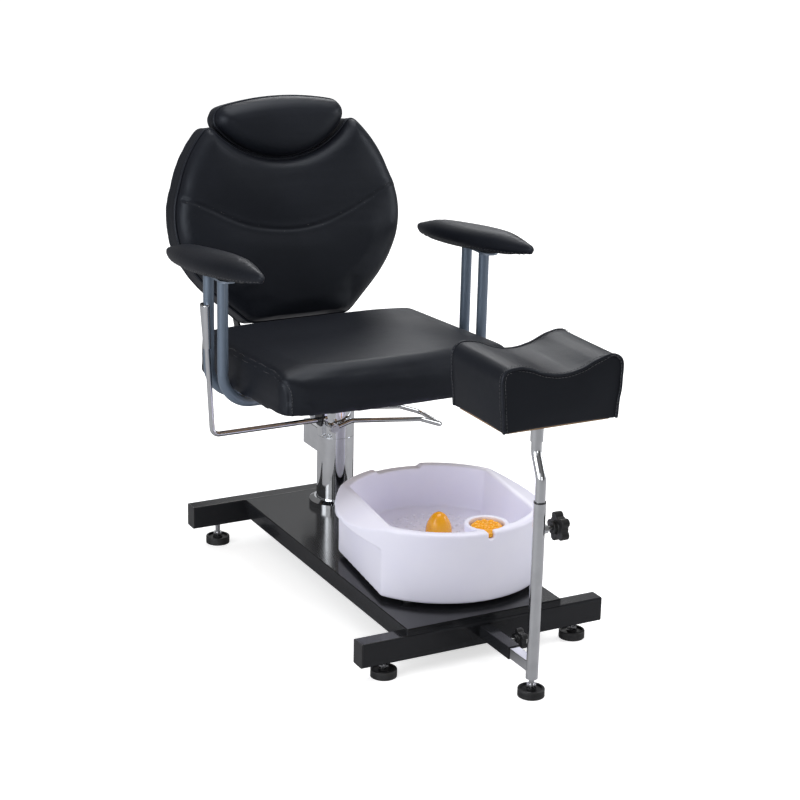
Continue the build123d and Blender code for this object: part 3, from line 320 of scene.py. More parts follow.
def edges_of(mesh):
    edges = np.zeros(len(mesh.edges) * 2, np.int32)
    mesh.edges.foreach_get("vertices", edges)
    return edges.reshape(-1, 2)


def neighbour_sum(values, edges):
    first, second = edges[:, 0], edges[:, 1]
    count = len(values)
    return np.bincount(first, values[second], count) + np.bincount(second, values[first], count)


def neighbour_count(edges, count):
    return np.maximum(np.bincount(edges.ravel(), minlength=count), 1)


def laplace(points, edges, times, weight=1.0):
    """Smoothing that keeps the volume: each step is followed by a slightly larger step back."""
    degree = neighbour_count(edges, len(points))[:, None]
    points = points.copy()
    for _ in range(times):
        for step in (0.5, -0.51):
            total = np.stack([neighbour_sum(points[:, k], edges) for k in range(3)], 1)
            points += weight * step * (total / degree - points)
    return points


def bake(obj):
    """Replaces an object's mesh by its modified mesh and drops the modifiers."""
    graph = bpy.context.evaluated_depsgraph_get()
    graph.update()
    mesh = bpy.data.meshes.new_from_object(
        obj.evaluated_get(graph), preserve_all_data_layers=False, depsgraph=graph
    )
    old = obj.data
    obj.modifiers.clear()
    obj.data = mesh
    mesh.name = obj.name
    if old.users == 0:
        bpy.data.meshes.remove(old)


def remesh(obj, size):
    modifier = obj.modifiers.new("remesh", "REMESH")
    modifier.mode = "VOXEL"
    modifier.voxel_size = size
    modifier.adaptivity = 0
    modifier.use_smooth_shade = True
    bake(obj)


def subdivide(obj):
    modifier = obj.modifiers.new("sub", "SUBSURF")
    modifier.levels = modifier.render_levels = 1
    modifier.use_limit_surface = False
    bake(obj)


def round_off(obj, size, times):
    """Remeshes the solid in cells of the given size and smooths its edges."""
    remesh(obj, size)
    set_coords(obj.data, laplace(coords(obj.data), edges_of(obj.data), times))
    set_smooth(obj)


def copy_node(node, name):
    """A welded copy of a CAD node's mesh as a new object."""
    work = bmesh.new()
    work.from_mesh(NODES[node].data)
    bmesh.ops.remove_doubles(work, verts=work.verts, dist=2e-5)
    bmesh.ops.recalc_face_normals(work, faces=work.faces)
    mesh = bpy.data.meshes.new(name)
    work.to_mesh(mesh)
    work.free()
    obj = bpy.data.objects.new(name, mesh)
    scene.collection.objects.link(obj)
    return obj


def face_outwards(obj):
    work = bmesh.new()
    work.from_mesh(obj.data)
    bmesh.ops.recalc_face_normals(work, faces=work.faces)
    work.to_mesh(obj.data)
    work.free()


def surface_of(obj):
    mesh = obj.data
    return BVHTree.FromPolygons(
        [vert.co for vert in mesh.vertices], [tuple(face.vertices) for face in mesh.polygons]
    )


def landed(hits):
    """Places and unit normals of the hits that found the surface."""
    hits = [hit for hit in hits if hit[0] is not None]
    return np.array([tuple(hit[0]) for hit in hits]), unit(np.array([tuple(hit[1]) for hit in hits]))


def project(surface, points):
    """Moves each point to the nearest place on the surface, at most 80 mm away."""
    return landed([surface.find_nearest(Vector(point), 0.08) for point in points])


def cast(surface, points, direction):
    """Drops each point on the surface along a direction, from a start 120 mm back."""
    way = Vector(unit(direction))
    back = 0.12
    return landed([surface.ray_cast(Vector(p) - way * back, way, back * 3) for p in points])


def distance_to(points, line):
    """Distance of each point to a densely sampled line."""
    tree = KDTree(len(line))
    for i, place in enumerate(line):
        tree.insert(Vector(place), i)
    tree.balance()
    return np.array([tree.find(Vector(point))[2] for point in points])


# ------------------------------------------------------------------ tubes and stitches
def frames_along(path, closed, normal=None):
    """Tangent, normal and side vectors along a path."""
    if closed:
        tangent = np.roll(path, -1, 0) - np.roll(path, 1, 0)
    else:
        tangent = np.gradient(path, axis=0)
    tangent = unit(tangent)
    if normal is not None:
        up = unit(normal - (normal * tangent).sum(1)[:, None] * tangent)
    else:
        up = np.zeros_like(path)
        start = np.array((0, 0, 1.0)) if abs(tangent[0][2]) < 0.9 else np.array((1.0, 0, 0))
        up[0] = unit(start - start @ tangent[0] * tangent[0])
        for i in range(1, len(path)):
            up[i] = unit(up[i - 1] - up[i - 1] @ tangent[i] * tangent[i])
    return tangent, up, np.cross(tangent, up)


def tube(path, radius, closed, sides, normal=None):
    """Verts and faces of a round tube on a path; the radius may vary along it."""
    path = np.asarray(path, float)
    count = len(path)
    tangent, up, side = frames_along(path, closed, normal)
    radius = np.broadcast_to(np.asarray(radius, float), (count,))
    angle = np.arange(sides) * 2 * math.pi / sides
    rings = (
        path[:, None, :]
        + np.cos(angle)[None, :, None] * up[:, None, :] * radius[:, None, None]
        + np.sin(angle)[None, :, None] * side[:, None, :] * radius[:, None, None]
    )
    verts = rings.reshape(-1, 3).tolist()
    faces = []
    for i in range(count if closed else count - 1):
        j = (i + 1) % count
        for k in range(sides):
            m = (k + 1) % sides
            faces.append((i * sides + k, i * sides + m, j * sides + m, j * sides + k))
    if not closed:
        # low pointed caps
        for i, sign in ((0, -1), (count - 1, 1)):
            tip = len(verts)
            verts.append((path[i] + sign * tangent[i] * radius[i] * 0.6).tolist())
            for k in range(sides):
                face = (i * sides + k, i * sides + (k + 1) % sides, tip)
                faces.append(face if sign > 0 else face[::-1])
    return verts, faces


def join(shapes):
    verts, faces = [], []
    for more_verts, more_faces in shapes:
        base = len(verts)
        verts += list(more_verts)
        faces += [tuple(i + base for i in face) for face in more_faces]
    return verts, faces


def stitches(line, normal, pitch=0.0068, length=0.0048, side=0.0):
    """Thread stitches along a line on a surface, each one dipping in at its ends (metres)."""
    radius = 0.00055
    line = np.asarray(line, float)
    _, up, across = frames_along(line, False, normal)
    line = line + across * side
    run = np.r_[0, np.cumsum(np.linalg.norm(np.diff(line, axis=0), axis=1))]
    shapes = []
    for k in range(int(run[-1] / pitch)):
        start = k * pitch + 0.4 * pitch
        if start + length > run[-1]:
            break
        places = start + length * np.linspace(0, 1, 5)
        path = np.stack([np.interp(places, run, line[:, i]) for i in range(3)], 1)
        out = unit(np.stack([np.interp(places, run, up[:, i]) for i in range(3)], 1))
        lift = radius * (1.15 * np.sin(np.linspace(0, math.pi, 5)) - 0.35)
        path = path + out * lift[:, None]
        taper = np.array((0.55, 0.95, 1, 0.95, 0.55))
        shapes.append(tube(path, radius * taper, False, 6, out))
    return join(shapes)


def stitch_rows(line, normal, side):
    """One row of stitches on each side of the line."""
    return [stitches(line, normal, side=side), stitches(line, normal, side=-side)]


def groove(obj, line, depth, width, swell=0.0):
    """Presses a sewn line into the surface; swell lifts the cover a little beside it."""
    points = coords(obj.data)
    normal = normals(obj.data)
    gap = distance_to(points, resample(line, 0.0012))
    move = -depth * np.exp(-((gap / width) ** 2))
    move = move + swell * np.exp(-(((gap - 2.4 * width) / (1.3 * width)) ** 2))
    set_coords(obj.data, points + normal * move[:, None])


def groove_seams(obj, lines, **sizes):
    """Presses in all the lines and returns the new surface."""
    surface = surface_of(obj)
    for line in lines:
        groove(obj, project(surface, line)[0], **sizes)
    return surface_of(obj)


def smooth_seam(surface, line, closed):
    line, normal = project(surface, line)
    return soften(line, 3, closed), unit(soften(normal, 4, closed))


def piping(name, body, line, normal, radius, sink, closed=True):
    """Round cord on a seam; sink is the share of its thickness below the surface."""
    path = line + normal * (radius * (1 - 2 * sink))
    shape = tube(path, radius, closed, 12, normal)
    add_piece(name, shape, body, "black_vinyl", PIPING_VINYL)


# ------------------------------------------------------------------ materials
class Nodes:
    """Short calls for the nodes of one shader tree."""

    def __init__(self, tree):
        self.tree = tree

    def feed(self, node, inputs):
        """Links or sets a node's inputs; colours get their alpha here."""
        for key, value in inputs.items():
            socket = node.inputs[key]
            if isinstance(value, bpy.types.NodeSocket):
                self.tree.links.new(value, socket)
            elif isinstance(value, tuple) and len(socket.default_value) == 4:
                socket.default_value = (*value, 1)
            else:
                socket.default_value = value

    def add(self, kind, inputs=None, **settings):
        node = self.tree.nodes.new("ShaderNode" + kind)
        for key, value in settings.items():
            setattr(node, key, value)
        self.feed(node, inputs or {})
        return node

    def math(self, operation, *values):
        return self.add("Math", dict(enumerate(values)), operation=operation).outputs[0]


class Material(Nodes):
    """A Principled material with procedural textures in object coordinates."""

    def __init__(self, name):
        self.material = bpy.data.materials.new(name)
        self.material.use_nodes = True
        super().__init__(self.material.node_tree)
        self.tree.nodes.clear()
        output = self.add("OutputMaterial")
        self.surface = self.add("BsdfPrincipled")
        self.feed(output, {0: self.surface.outputs[0]})
        self.coords = self.add("TexCoord").outputs["Object"]

    def set(self, inputs):
        self.feed(self.surface, inputs)
        return self.material

    def stretched(self, scale):
        node = self.add("Mapping", {"Scale": scale, "Vector": self.coords})
        return node.outputs[0]

    def noise(self, scale, detail=4.0, rough=0.55, distort=0.0, coords=None):
        inputs = {"Scale": scale, "Detail": detail, "Roughness": rough, "Distortion": distort}
        inputs["Vector"] = coords or self.coords
        return self.add("TexNoise", inputs).outputs[0]

    def cells(self, scale, feature="F1"):
        inputs = {"Scale": scale, "Vector": self.coords}
        return self.add("TexVoronoi", inputs, feature=feature).outputs[0]

    def wave(self, direction, scale, distort):
        inputs = {"Scale": scale, "Distortion": distort, "Vector": self.coords}
        return self.add("TexWave", inputs, bands_direction=direction).outputs[0]

    def ramp(self, value, span, to=(0, 1), **settings):
        """Maps the span of the value to another range."""
        inputs = {"From Min": span[0], "From Max": span[1], "To Min": to[0], "To Max": to[1]}
        return self.add("MapRange", {**inputs, "Value": value}, **settings).outputs[0]

    def mix(self, factor, first, second):
        """Mix of two colours."""
        return self.add("Mix", {0: factor, 6: first, 7: second}, data_type="RGBA").outputs[2]

    def bump(self, height, distance, strength, under=None):
        inputs = {"Distance": distance, "Strength": strength, "Height": height}
        if under is not None:
            inputs["Normal"] = under
        return self.add("Bump", inputs).outputs[0]

    def edge_wear_and_highlight(self, amount):
        """About 0 on flats, the amount on convex edges; rubbed edges in paint, a painted highlight
        in vinyl.
        """
        point = self.add("NewGeometry").outputs["Pointiness"]
        edge = self.ramp(point, span=(0.51, 0.60), interpolation_type="SMOOTHSTEP")
        return self.math("MULTIPLY", edge, amount)


def scaled(color, factor):
    return tuple(factor * part for part in color)


def vinyl(name, tone, rough):
    """Embossed upholstery vinyl: fine pebble grain, soft creases, a satin top coat, and lighter
    bluish convex edges that are a painted highlight.
    """
    mat = Material(name)
    cell = mat.cells(scale=720, feature="SMOOTH_F1")
    fine = mat.noise(scale=1500, detail=2)
    crease = mat.noise(scale=24, detail=5, rough=0.6, distort=0.6)
    broad = mat.noise(scale=6, detail=3)
    dark = scaled((0.0034, 0.0041, 0.0070), tone)
    light = scaled((0.0052, 0.0062, 0.0102), tone)
    color = mat.mix(mat.ramp(broad, span=(0.35, 0.65)), dark, light)
    color = mat.mix(mat.ramp(cell, span=(0.0, 0.7), to=(0.35, 0.0)), color, scaled(light, 1.9))
    # painted highlight: convex edges turn a lighter bluish grey, as where lamps catch the cushion
    # edges
    color = mat.mix(mat.edge_wear_and_highlight(0.35), color, (0.045, 0.048, 0.060))
    broad_rough = mat.ramp(broad, span=(0.3, 0.7), to=(rough - 0.03, rough + 0.04))
    cell_rough = mat.ramp(cell, span=(0, 0.8), to=(0.05, -0.03))
    normal = mat.bump(crease, distance=0.0016, strength=0.30)
    normal = mat.bump(cell, distance=0.00022, strength=0.40, under=normal)
    normal = mat.bump(fine, distance=0.00006, strength=0.30, under=normal)
    return mat.set({
        "Base Color": color,
        "Roughness": mat.math("ADD", broad_rough, cell_rough),
        "Normal": normal,
        "Specular IOR Level": 0.34,
        "Specular Tint": (0.84, 0.90, 1),
        "Coat Weight": 0.04,
        "Coat Roughness": 0.30,
        "Sheen Weight": 0.02,
        "Sheen Roughness": 0.4,
        "Sheen Tint": (0.75, 0.8, 1.0),
    })


def chrome(name):
    """Polished chrome with a faint haze and small dull spots."""
    mat = Material(name)
    base = (0.88, 0.89, 0.915)
    rough = 0.04
    haze = mat.noise(scale=35, detail=5, rough=0.6)
    fine = mat.noise(scale=900, detail=2)
    spots = mat.cells(scale=260)
    haze_rough = mat.ramp(haze, span=(0.3, 0.75), to=(rough, rough + 0.05))
    spot_rough = mat.ramp(spots, span=(0.02, 0.10), to=(0.05, 0.0))
    normal = mat.bump(haze, distance=0.0006, strength=0.12)
    return mat.set({
        "Base Color": mat.mix(mat.ramp(haze, span=(0.35, 0.7)), base, scaled(base, 0.90)),
        "Metallic": 1,
        "Roughness": mat.math("ADD", haze_rough, spot_rough),
        "Normal": mat.bump(fine, distance=0.00003, strength=0.10, under=normal),
    })


def zinc(name):
    """Zinc-plated steel with short streaks."""
    mat = Material(name)
    streak = mat.noise(scale=160, coords=mat.stretched((1, 1, 12)))
    cloud = mat.noise(scale=90)
    light, dark = (0.56, 0.57, 0.58), (0.42, 0.43, 0.44)
    return mat.set({
        "Base Color": mat.mix(mat.ramp(cloud, span=(0.35, 0.7)), light, dark),
        "Metallic": 1,
        "Roughness": mat.ramp(streak, span=(0.3, 0.7), to=(0.20, 0.36)),
        "Normal": mat.bump(streak, distance=0.00008, strength=0.35),
    })


def paint(name, colors, edge, rough, coat, metallic, texture, scale, specular):
    """Powder coat: orange-peel skin, faint dust, lighter rubbed edges."""
    mat = Material(name)
    peel = mat.noise(scale=scale, detail=3, rough=0.5)
    dust = mat.noise(scale=55, detail=6, rough=0.7)
    smear = mat.noise(scale=7, detail=4, rough=0.6, distort=0.8)
    color = mat.mix(mat.ramp(smear, span=(0.35, 0.7)), *colors)
    smear_rough = mat.ramp(smear, span=(0.3, 0.7), to=(rough - 0.01, rough + 0.02))
    dust_rough = mat.ramp(dust, span=(0.5, 0.85), to=(0.0, 0.04))
    return mat.set({
        "Base Color": mat.mix(mat.edge_wear_and_highlight(0.5), color, edge),
        "Metallic": metallic,
        "Roughness": mat.math("ADD", smear_rough, dust_rough),
        "Normal": mat.bump(peel, distance=0.00008, strength=texture),
        "Coat Weight": coat,
        "Coat Roughness": 0.08,
        "Specular IOR Level": specular,
    })


def moulded(name, colors, rough, coat, grain, scale, glow=0.0, glow_radius=(1, 1, 1)):
    """Moulded plastic; glow is the share of light scattered below the surface."""
    mat = Material(name)
    cloud = mat.noise(scale=9, detail=3)
    skin = mat.noise(scale=scale, detail=4, rough=0.6)
    scuff = mat.noise(scale=60, detail=6, rough=0.75, distort=1.0)
    cloud_rough = mat.ramp(cloud, span=(0.3, 0.7), to=(rough - 0.02, rough + 0.03))
    scuff_rough = mat.ramp(scuff, span=(0.5, 0.8), to=(0.0, 0.08))
    mat.set({
        "Base Color": mat.mix(mat.ramp(cloud, span=(0.35, 0.65)), *colors),
        "Roughness": mat.math("ADD", cloud_rough, scuff_rough),
        "Normal": mat.bump(skin, distance=0.00012, strength=grain),
        "Coat Weight": coat,
        "Coat Roughness": 0.10,
    })
    if glow:
        mat.set({
            "Subsurface Weight": glow,
            "Subsurface Radius": glow_radius,
            "Subsurface Scale": 0.006,
        })
    return mat.material


def rubber(name, studs):
    """Black rubber; the metal stud and nut above each foot pad show as zinc."""
    stud_radius, stud_bottom = 0.01005, 0.0153  # metres
    mat = Material(name)
    grit = mat.noise(scale=700, detail=4, rough=0.7)
    dust = mat.noise(scale=40, detail=5, rough=0.7)
    color = mat.mix(
        mat.ramp(dust, span=(0.4, 0.75)), (0.012, 0.012, 0.013), (0.040, 0.040, 0.042)
    )
    rough = mat.ramp(dust, span=(0.3, 0.8), to=(0.42, 0.62))
    place = mat.add("SeparateXYZ", {0: mat.coords}).outputs
    mask = None
    for x, y in studs:
        across = mat.math("SUBTRACT", place[0], x)
        along = mat.math("SUBTRACT", place[1], y)
        squares = [mat.math("MULTIPLY", side, side) for side in (across, along)]
        distance = mat.math("SQRT", mat.math("ADD", *squares))
        disc = mat.math("LESS_THAN", distance, stud_radius)
        mask = disc if mask is None else mat.math("MAXIMUM", mask, disc)
    mask = mat.math("MULTIPLY", mask, mat.math("GREATER_THAN", place[2], stud_bottom))
    streak = mat.noise(scale=300, detail=3)
    zinc_rough = mat.ramp(streak, span=(0.3, 0.7), to=(0.16, 0.30))
    return mat.set({
        "Base Color": mat.mix(mask, color, (0.62, 0.62, 0.64)),
        "Metallic": mask,
        "Roughness": mat.add("Mix", {0: mask, 2: rough, 3: zinc_rough}).outputs[0],
        "Normal": mat.bump(grit, distance=0.00015, strength=0.4),
    })


def plywood(name):
    """Plywood: grain along x, plies stacked in z."""
    mat = Material(name)
    along_grain = mat.stretched((1, 14, 14))
    grain = mat.noise(scale=12, detail=8, rough=0.65, distort=0.8, coords=along_grain)
    pores = mat.noise(scale=120, detail=3, coords=along_grain)
    plies = mat.wave("Z", scale=95, distort=1.5)
    color = mat.mix(mat.ramp(grain, span=(0.35, 0.7)), (0.52, 0.34, 0.18), (0.30, 0.17, 0.08))
    return mat.set({
        "Base Color": mat.mix(mat.math("MULTIPLY", plies, 0.25), color, (0.20, 0.11, 0.05)),
        "Roughness": mat.ramp(grain, span=(0.3, 0.7), to=(0.55, 0.75)),
        "Normal": mat.bump(pores, distance=0.0003, strength=0.5),
    })


def thread(name):
    """Twisted sewing thread."""
    mat = Material(name)
    twist = mat.wave("DIAGONAL", scale=900, distort=0.6)
    return mat.set({
        "Base Color": mat.mix(twist, (0.022, 0.023, 0.028), (0.055, 0.057, 0.065)),
        "Roughness": mat.ramp(twist, span=(0, 1), to=(0.55, 0.75)),
        "Normal": mat.bump(twist, distance=0.00012, strength=0.6),
        "Sheen Weight": 0.3,
    })


FEET = ("foot_front_right", "foot_front_left", "foot_rear_right", "foot_rear_left", "foot_post")
VINYL = vinyl("black_vinyl", tone=1.0, rough=0.47)
PIPING_VINYL = vinyl("black_vinyl_piping", tone=1.1, rough=0.40)
THREAD = thread("stitch_thread")
MATERIALS = {
    "black_steel": paint(
        "black_steel", colors=((0.0020, 0.0023, 0.0032), (0.0032, 0.0036, 0.0048)),
        edge=(0.03, 0.031, 0.035), rough=0.16, coat=0.08, metallic=0.0, texture=0.15,
        scale=420, specular=0.30,
    ),
    "chrome": chrome("chrome"),
    "steel": zinc("steel"),
    "arm_paint": paint(
        "arm_paint", colors=((0.135, 0.175, 0.235), (0.165, 0.210, 0.275)),
        edge=(0.30, 0.34, 0.40), rough=0.36, coat=0.30, metallic=0.35, texture=0.30,
        scale=600, specular=0.5,
    ),
    "black_vinyl": VINYL,
    "basin_plastic": moulded(
        "basin_plastic", colors=((0.84, 0.83, 0.98), (0.87, 0.86, 0.99)),
        rough=0.38, coat=0.12, grain=0.14, scale=260, glow=0.10,
    ),
    "orange_plastic": moulded(
        "orange_plastic", colors=((0.95, 0.40, 0.006), (1.0, 0.47, 0.01)),
        rough=0.24, coat=0.4, grain=0.08, scale=220, glow=0.12, glow_radius=(1.0, 0.5, 0.1),
    ),
    "black_plastic": moulded(
        "black_plastic", colors=((0.010, 0.010, 0.011), (0.017, 0.017, 0.019)),
        rough=0.36, coat=0.15, grain=0.45, scale=900,
    ),
    "black_rubber": rubber("black_rubber", [box_centre(foot) for foot in FEET]),
    "plywood": plywood("plywood"),
}


def dress_nodes():
    for node in NODES:
        slots = NODES[node].data.materials
        slots.clear()
        slots.append(MATERIALS[SLOT[node]])


# ------------------------------------------------------------------ soft goods
def inflate(obj, pin, pressure):
    """Cloth under inner pressure, no gravity; pinned points stay. Returns the moved points."""
    frames = 20
    group = obj.vertex_groups.new(name="pin")
    pin = np.round(pin, 1)
    for value in np.unique(pin):
        if value > 0:
            group.add([int(i) for i in np.nonzero(pin == value)[0]], float(value), "REPLACE")
    cloth = obj.modifiers.new("cloth", "CLOTH")
    settings = cloth.settings
    settings.vertex_group_mass = "pin"
    settings.pin_stiffness = 1.0
    settings.use_pressure = True
    settings.uniform_pressure_force = pressure
    settings.tension_stiffness = settings.compression_stiffness = 20
    settings.shear_stiffness = 8
    settings.bending_stiffness = 1.5
    settings.mass = 0.3
    settings.quality = 5
    settings.effector_weights.gravity = 0
    cloth.collision_settings.use_collision = False
    cloth.collision_settings.use_self_collision = False
    cloth.point_cache.frame_start = 1
    cloth.point_cache.frame_end = frames
    for number in range(1, frames + 1):
        scene.frame_set(number)
    evaluated = obj.evaluated_get(bpy.context.evaluated_depsgraph_get())
    points = coords(evaluated.to_mesh())
    evaluated.to_mesh_clear()
    obj.modifiers.clear()
    obj.vertex_groups.clear()
    scene.frame_set(1)
    return points


def soft_cover(cover, cell, start_in, smooth, hold, seams, cap, pressure=4.0, relief=None):
    """Turns a solid into an upholstered cover, blown up between its seams (metres).

    The solid is remeshed in cells, shrunk by start_in, smoothed and inflated by at most cap.
    hold(points) gives 0..1 where the cover is glued to a board or tucked away; seams are lines
    where the sewn edge holds the swelling back; relief(points) shapes the result.
    """
    remesh(cover, cell)
    edges = edges_of(cover.data)
    points = coords(cover.data)
    normal = normals(cover.data)
    fixed = hold(points)
    loose = 1 - fixed
    points = points - normal * start_in * loose[:, None]
    points = laplace(points, edges, smooth, loose[:, None])
    set_coords(cover.data, points)
    gap = distance_to(points, np.vstack(seams))
    on_seam = np.where(gap < cell * 1.3, 0.9, 0)
    blown = inflate(cover, np.maximum(fixed, on_seam), pressure)
    # the swelling is evened out over the cover; a little of the raw creasing stays
    rise = ((blown - points) * normal).sum(1)
    degree = neighbour_count(edges, len(points))
    even_rise = rise.copy()
    for _ in range(24):
        even_rise = 0.4 * even_rise + 0.6 * neighbour_sum(even_rise, edges) / degree
    move = normal * (0.92 * even_rise + 0.08 * rise)[:, None]
    # a quarter of the cap is allowed at a seam, all of it from 45 mm away
    length = np.linalg.norm(move, axis=1)
    free = np.clip(gap / 0.045, 0, 1)
    limit = cap * (0.25 + 0.75 * free * free * (3 - 2 * free)) * loose
    move *= (np.minimum(length, limit) / np.maximum(length, 1e-9))[:, None]
    points = laplace(points + move, edges, 3, loose[:, None])
    if relief is not None:
        points = relief(points)
    set_coords(cover.data, points)
    subdivide(cover)
    set_smooth(cover)


def cut_bore(obj, start, end, radius):
    line = start + (end - start) * np.linspace(0, 1, 5)[:, None]
    cutter = new_object(obj.name + "_cutter", *tube(line, radius, False, 20))
    face_outwards(cutter)
    modifier = obj.modifiers.new("bore", "BOOLEAN")
    modifier.operation = "DIFFERENCE"
    modifier.solver = "EXACT"
    modifier.object = cutter
    bake(obj)
    bpy.data.objects.remove(cutter, do_unlink=True)


def pillow(
    name, outline, put, edge, rear, top, belly,
    rim=None, depth=0.0, bores=(), grid=10.0, narrow=(1.0, 1.0),
):
    """Closed cushion body: outline in plan, sewn edge at the height edge, flat face at rear.

    put(x, y, height) places a point. top(x, y, gap) is the rise above the sewn edge at a
    distance from it. Inside rim the rear face is sunk by depth, for a board. belly is how far
    the side wall bulges. narrow is the rear face's size, as shares of the outline's.
    """
    border = even(outline, 5.0)
    gaps = (1.0, 2.5, 5, 8.5, 13, 18, 24, 31, 39)
    if rim:
        gaps = tuple(k for k in gaps if abs(k - rim) > 2.6) + (rim - 0.6, rim + 0.6)
    low, high = border.min(0), border.max(0)
    columns, rows = np.meshgrid(*(np.arange(low[i], high[i], grid) for i in range(2)))
    middle = np.c_[columns.ravel(), rows.ravel()]
    middle = middle[inside(middle, border)]
    middle = middle[edge_distance(middle, border) > 44]
    plan = np.vstack([border] + [inset(border, k) for k in gaps] + [middle])
    plan, triangles, sources = triangulate(plan, len(border))
    plan = np.array([tuple(point) for point in plan])
    where = {source: i for i, group in enumerate(sources) for source in group}
    gap = edge_distance(plan, border)
    gap[gap < 0.02] = 0
    count = len(plan)
    verts = [put(x, y, edge + top(x, y, k)) for (x, y), k in zip(plan, gap)]
    for (x, y), k in zip(plan, gap):
        sunk = depth if rim and k > rim else 0
        verts.append(put(x * narrow[0], y * narrow[1], rear + sunk))
    faces = [tuple(face) for face in triangles]
    faces += [tuple(i + count for i in reversed(face)) for face in triangles]
    # side wall
    first = [where[i] for i in range(len(border))]
    rings = [first]
    steps = 6
    bulge = inward(border) * belly
    for k in range(1, steps):
        base = len(verts)
        shrink = 1 - (1 - np.array(narrow)) * (k / steps) ** 1.7
        wall = border * shrink - bulge * math.sin(math.pi * k / steps)
        verts += [put(x, y, edge + (rear - edge) * k / steps) for x, y in wall]
        rings.append(list(range(base, base + len(border))))
    rings.append([i + count for i in first])
    for upper, lower in zip(rings[:-1], rings[1:]):
        for i in range(len(border)):
            j = (i + 1) % len(border)
            faces.append((upper[i], lower[i], lower[j], upper[j]))
    obj = new_object(name, verts, faces)
    face_outwards(obj)
    for bore in bores:
        cut_bore(obj, *bore)
    return obj


# ------------------------------------------------------------------ seat
def seat_front(x):
    """The front edge in plan: a curve that bows out in the middle."""
    return -18 + 26 * (x / SEAT_HALF_WIDTH) ** 2


def seat_outline():
    def corner(x, y, radius, start, end, count):
        angles = np.linspace(start, end, count)
        return [(x + radius * cos_d(a), y + radius * sin_d(a)) for a in angles]

    front_radius, rear_radius = 34, 54
    front_x, front_y = SEAT_HALF_WIDTH - front_radius, 40
    rear_x, rear_y = SEAT_HALF_WIDTH - rear_radius, SEAT_LENGTH - rear_radius
    outline = [(x, seat_front(x)) for x in np.linspace(-216, 216, 60)]
    outline += corner(front_x, front_y, front_radius, -68, 0, 9)
    outline += corner(rear_x, rear_y, rear_radius, 0, 90, 14)
    outline += corner(-rear_x, rear_y, rear_radius, 90, 180, 14)
    outline += corner(-front_x, front_y, front_radius, 180, 248, 9)
    return outline


def seat_top(x, y, gap):
    """Rise with a tight round at the sides, a wide one at the front, a medium one behind."""
    side = quarter(min((SEAT_HALF_WIDTH - abs(x)) / 21, gap / 8))
    front = quarter((y - seat_front(x)) / 46)
    rear = quarter((SEAT_LENGTH - y) / 24)
    return 30 * side * front * rear


def seat_seam(side):
    """Seam along one side of the top, over the front round and down the front."""
    # x, y, up
    points = [(250, 440, 77), (253, 415, 77)]
    points += [(254, y, 77) for y in np.linspace(400, 74, 36)]
    points += [(254, 58, 75), (253, 42, 71), (251, 26, 64), (249, 14, 55), (248, 9, 43)]
    points += [(248, 8, up) for up in np.linspace(36, 3, 8)]
    return resample(spline([seat_point(side * x, y, up) for x, y, up in points], 4), 0.004)


def seat_hold(points):
    """Held at the lower edge and in the pocket for the board."""
    x, y, up = seat_coords(points)
    low = np.clip((0.020 - up) / 0.010, 0, 1)
    pocket = (np.abs(x) < 0.2475) & (y > -0.003) & (y < 0.4490) & (up < 0.024)
    return np.maximum(low, pocket.astype(float))


def seat_relief(points):
    """Crown towards the middle, and a slight hollow where people sit."""
    x, y, up = seat_coords(points)
    top = np.clip((up - 0.071) / 0.012, 0, 1)
    across = np.clip(1 - (x / (SEAT_HALF_WIDTH / 1000)) ** 2, 0, 1)
    along = np.clip(1 - ((y - 0.23) / 0.245) ** 2, 0, 1)
    hollow = np.exp(-((x / 0.12) ** 2) - (((y - 0.27) / 0.11) ** 2))
    height = 0.0060 * across * along**0.5 - 0.0030 * hollow
    return points + (top * height)[:, None] * SEAT_UP


def build_seat():
    seams = [seat_seam(-1), seat_seam(1)]
    seat = pillow(
        "seat_cover", seat_outline(), seat_point, edge=55, rear=0, top=seat_top, belly=1.0,
        rim=10.0, depth=15.2,
    )
    soft_cover(
        seat, cell=0.006, start_in=0.0020, smooth=6, hold=seat_hold, seams=seams, cap=0.0050,
        relief=seat_relief,
    )
    finish(seat, "seat", "black_vinyl")
    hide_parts("seat_cushion")
    surface = groove_seams(seat, seams, depth=0.0012, width=0.0026, swell=0.0003)
    rows = []
    for seam in seams:
        line, normal = project(surface, seam)
        rows += stitch_rows(soften(line, 3), normal, side=0.0042)
    add_piece("seat_stitching", join(rows), "seat", "black_vinyl", THREAD)


# ------------------------------------------------------------------ backrest
BACK_CORNER = ((182, 36), (130, -13))  # upper and lower end of the slanted bottom corner
BACK_BOTTOM = -25
# arcs down one side: x and height of the start, middle and end, then the steps
BACK_SIDE_ARCS = (
    ((158, 393), (168, 396), (178, 390), 5),
    ((178, 390), (214, 346), (246, 276), 16),
    ((246, 276), (263, 205), (252, 135), 16),
    ((252, 135), (224, 84), BACK_CORNER[0], 14),
)
# seam across the front: x, height
YOKE = (
    (-246, 249), (-205, 230), (-125, 189), (-60, 172), (0, 167),
    (60, 174), (125, 195), (205, 231), (246, 250),
)


def back_outline():
    side = []
    for arc in BACK_SIDE_ARCS:
        side += arc3(*arc)[:-1]
    side += [BACK_CORNER[0], (156, 11.5), BACK_CORNER[1]]
    side += arc3(BACK_CORNER[1], (121, -21), (106, BACK_BOTTOM), 5)[1:]
    outline = arc3((-158, 393), (0, 319), (158, 393), 44)[:-1] + side
    outline += [(x, BACK_BOTTOM) for x in np.linspace(106, -106, 28)[1:-1]]
    return outline + mirrored(side)


BACK_OUTLINE = back_outline()


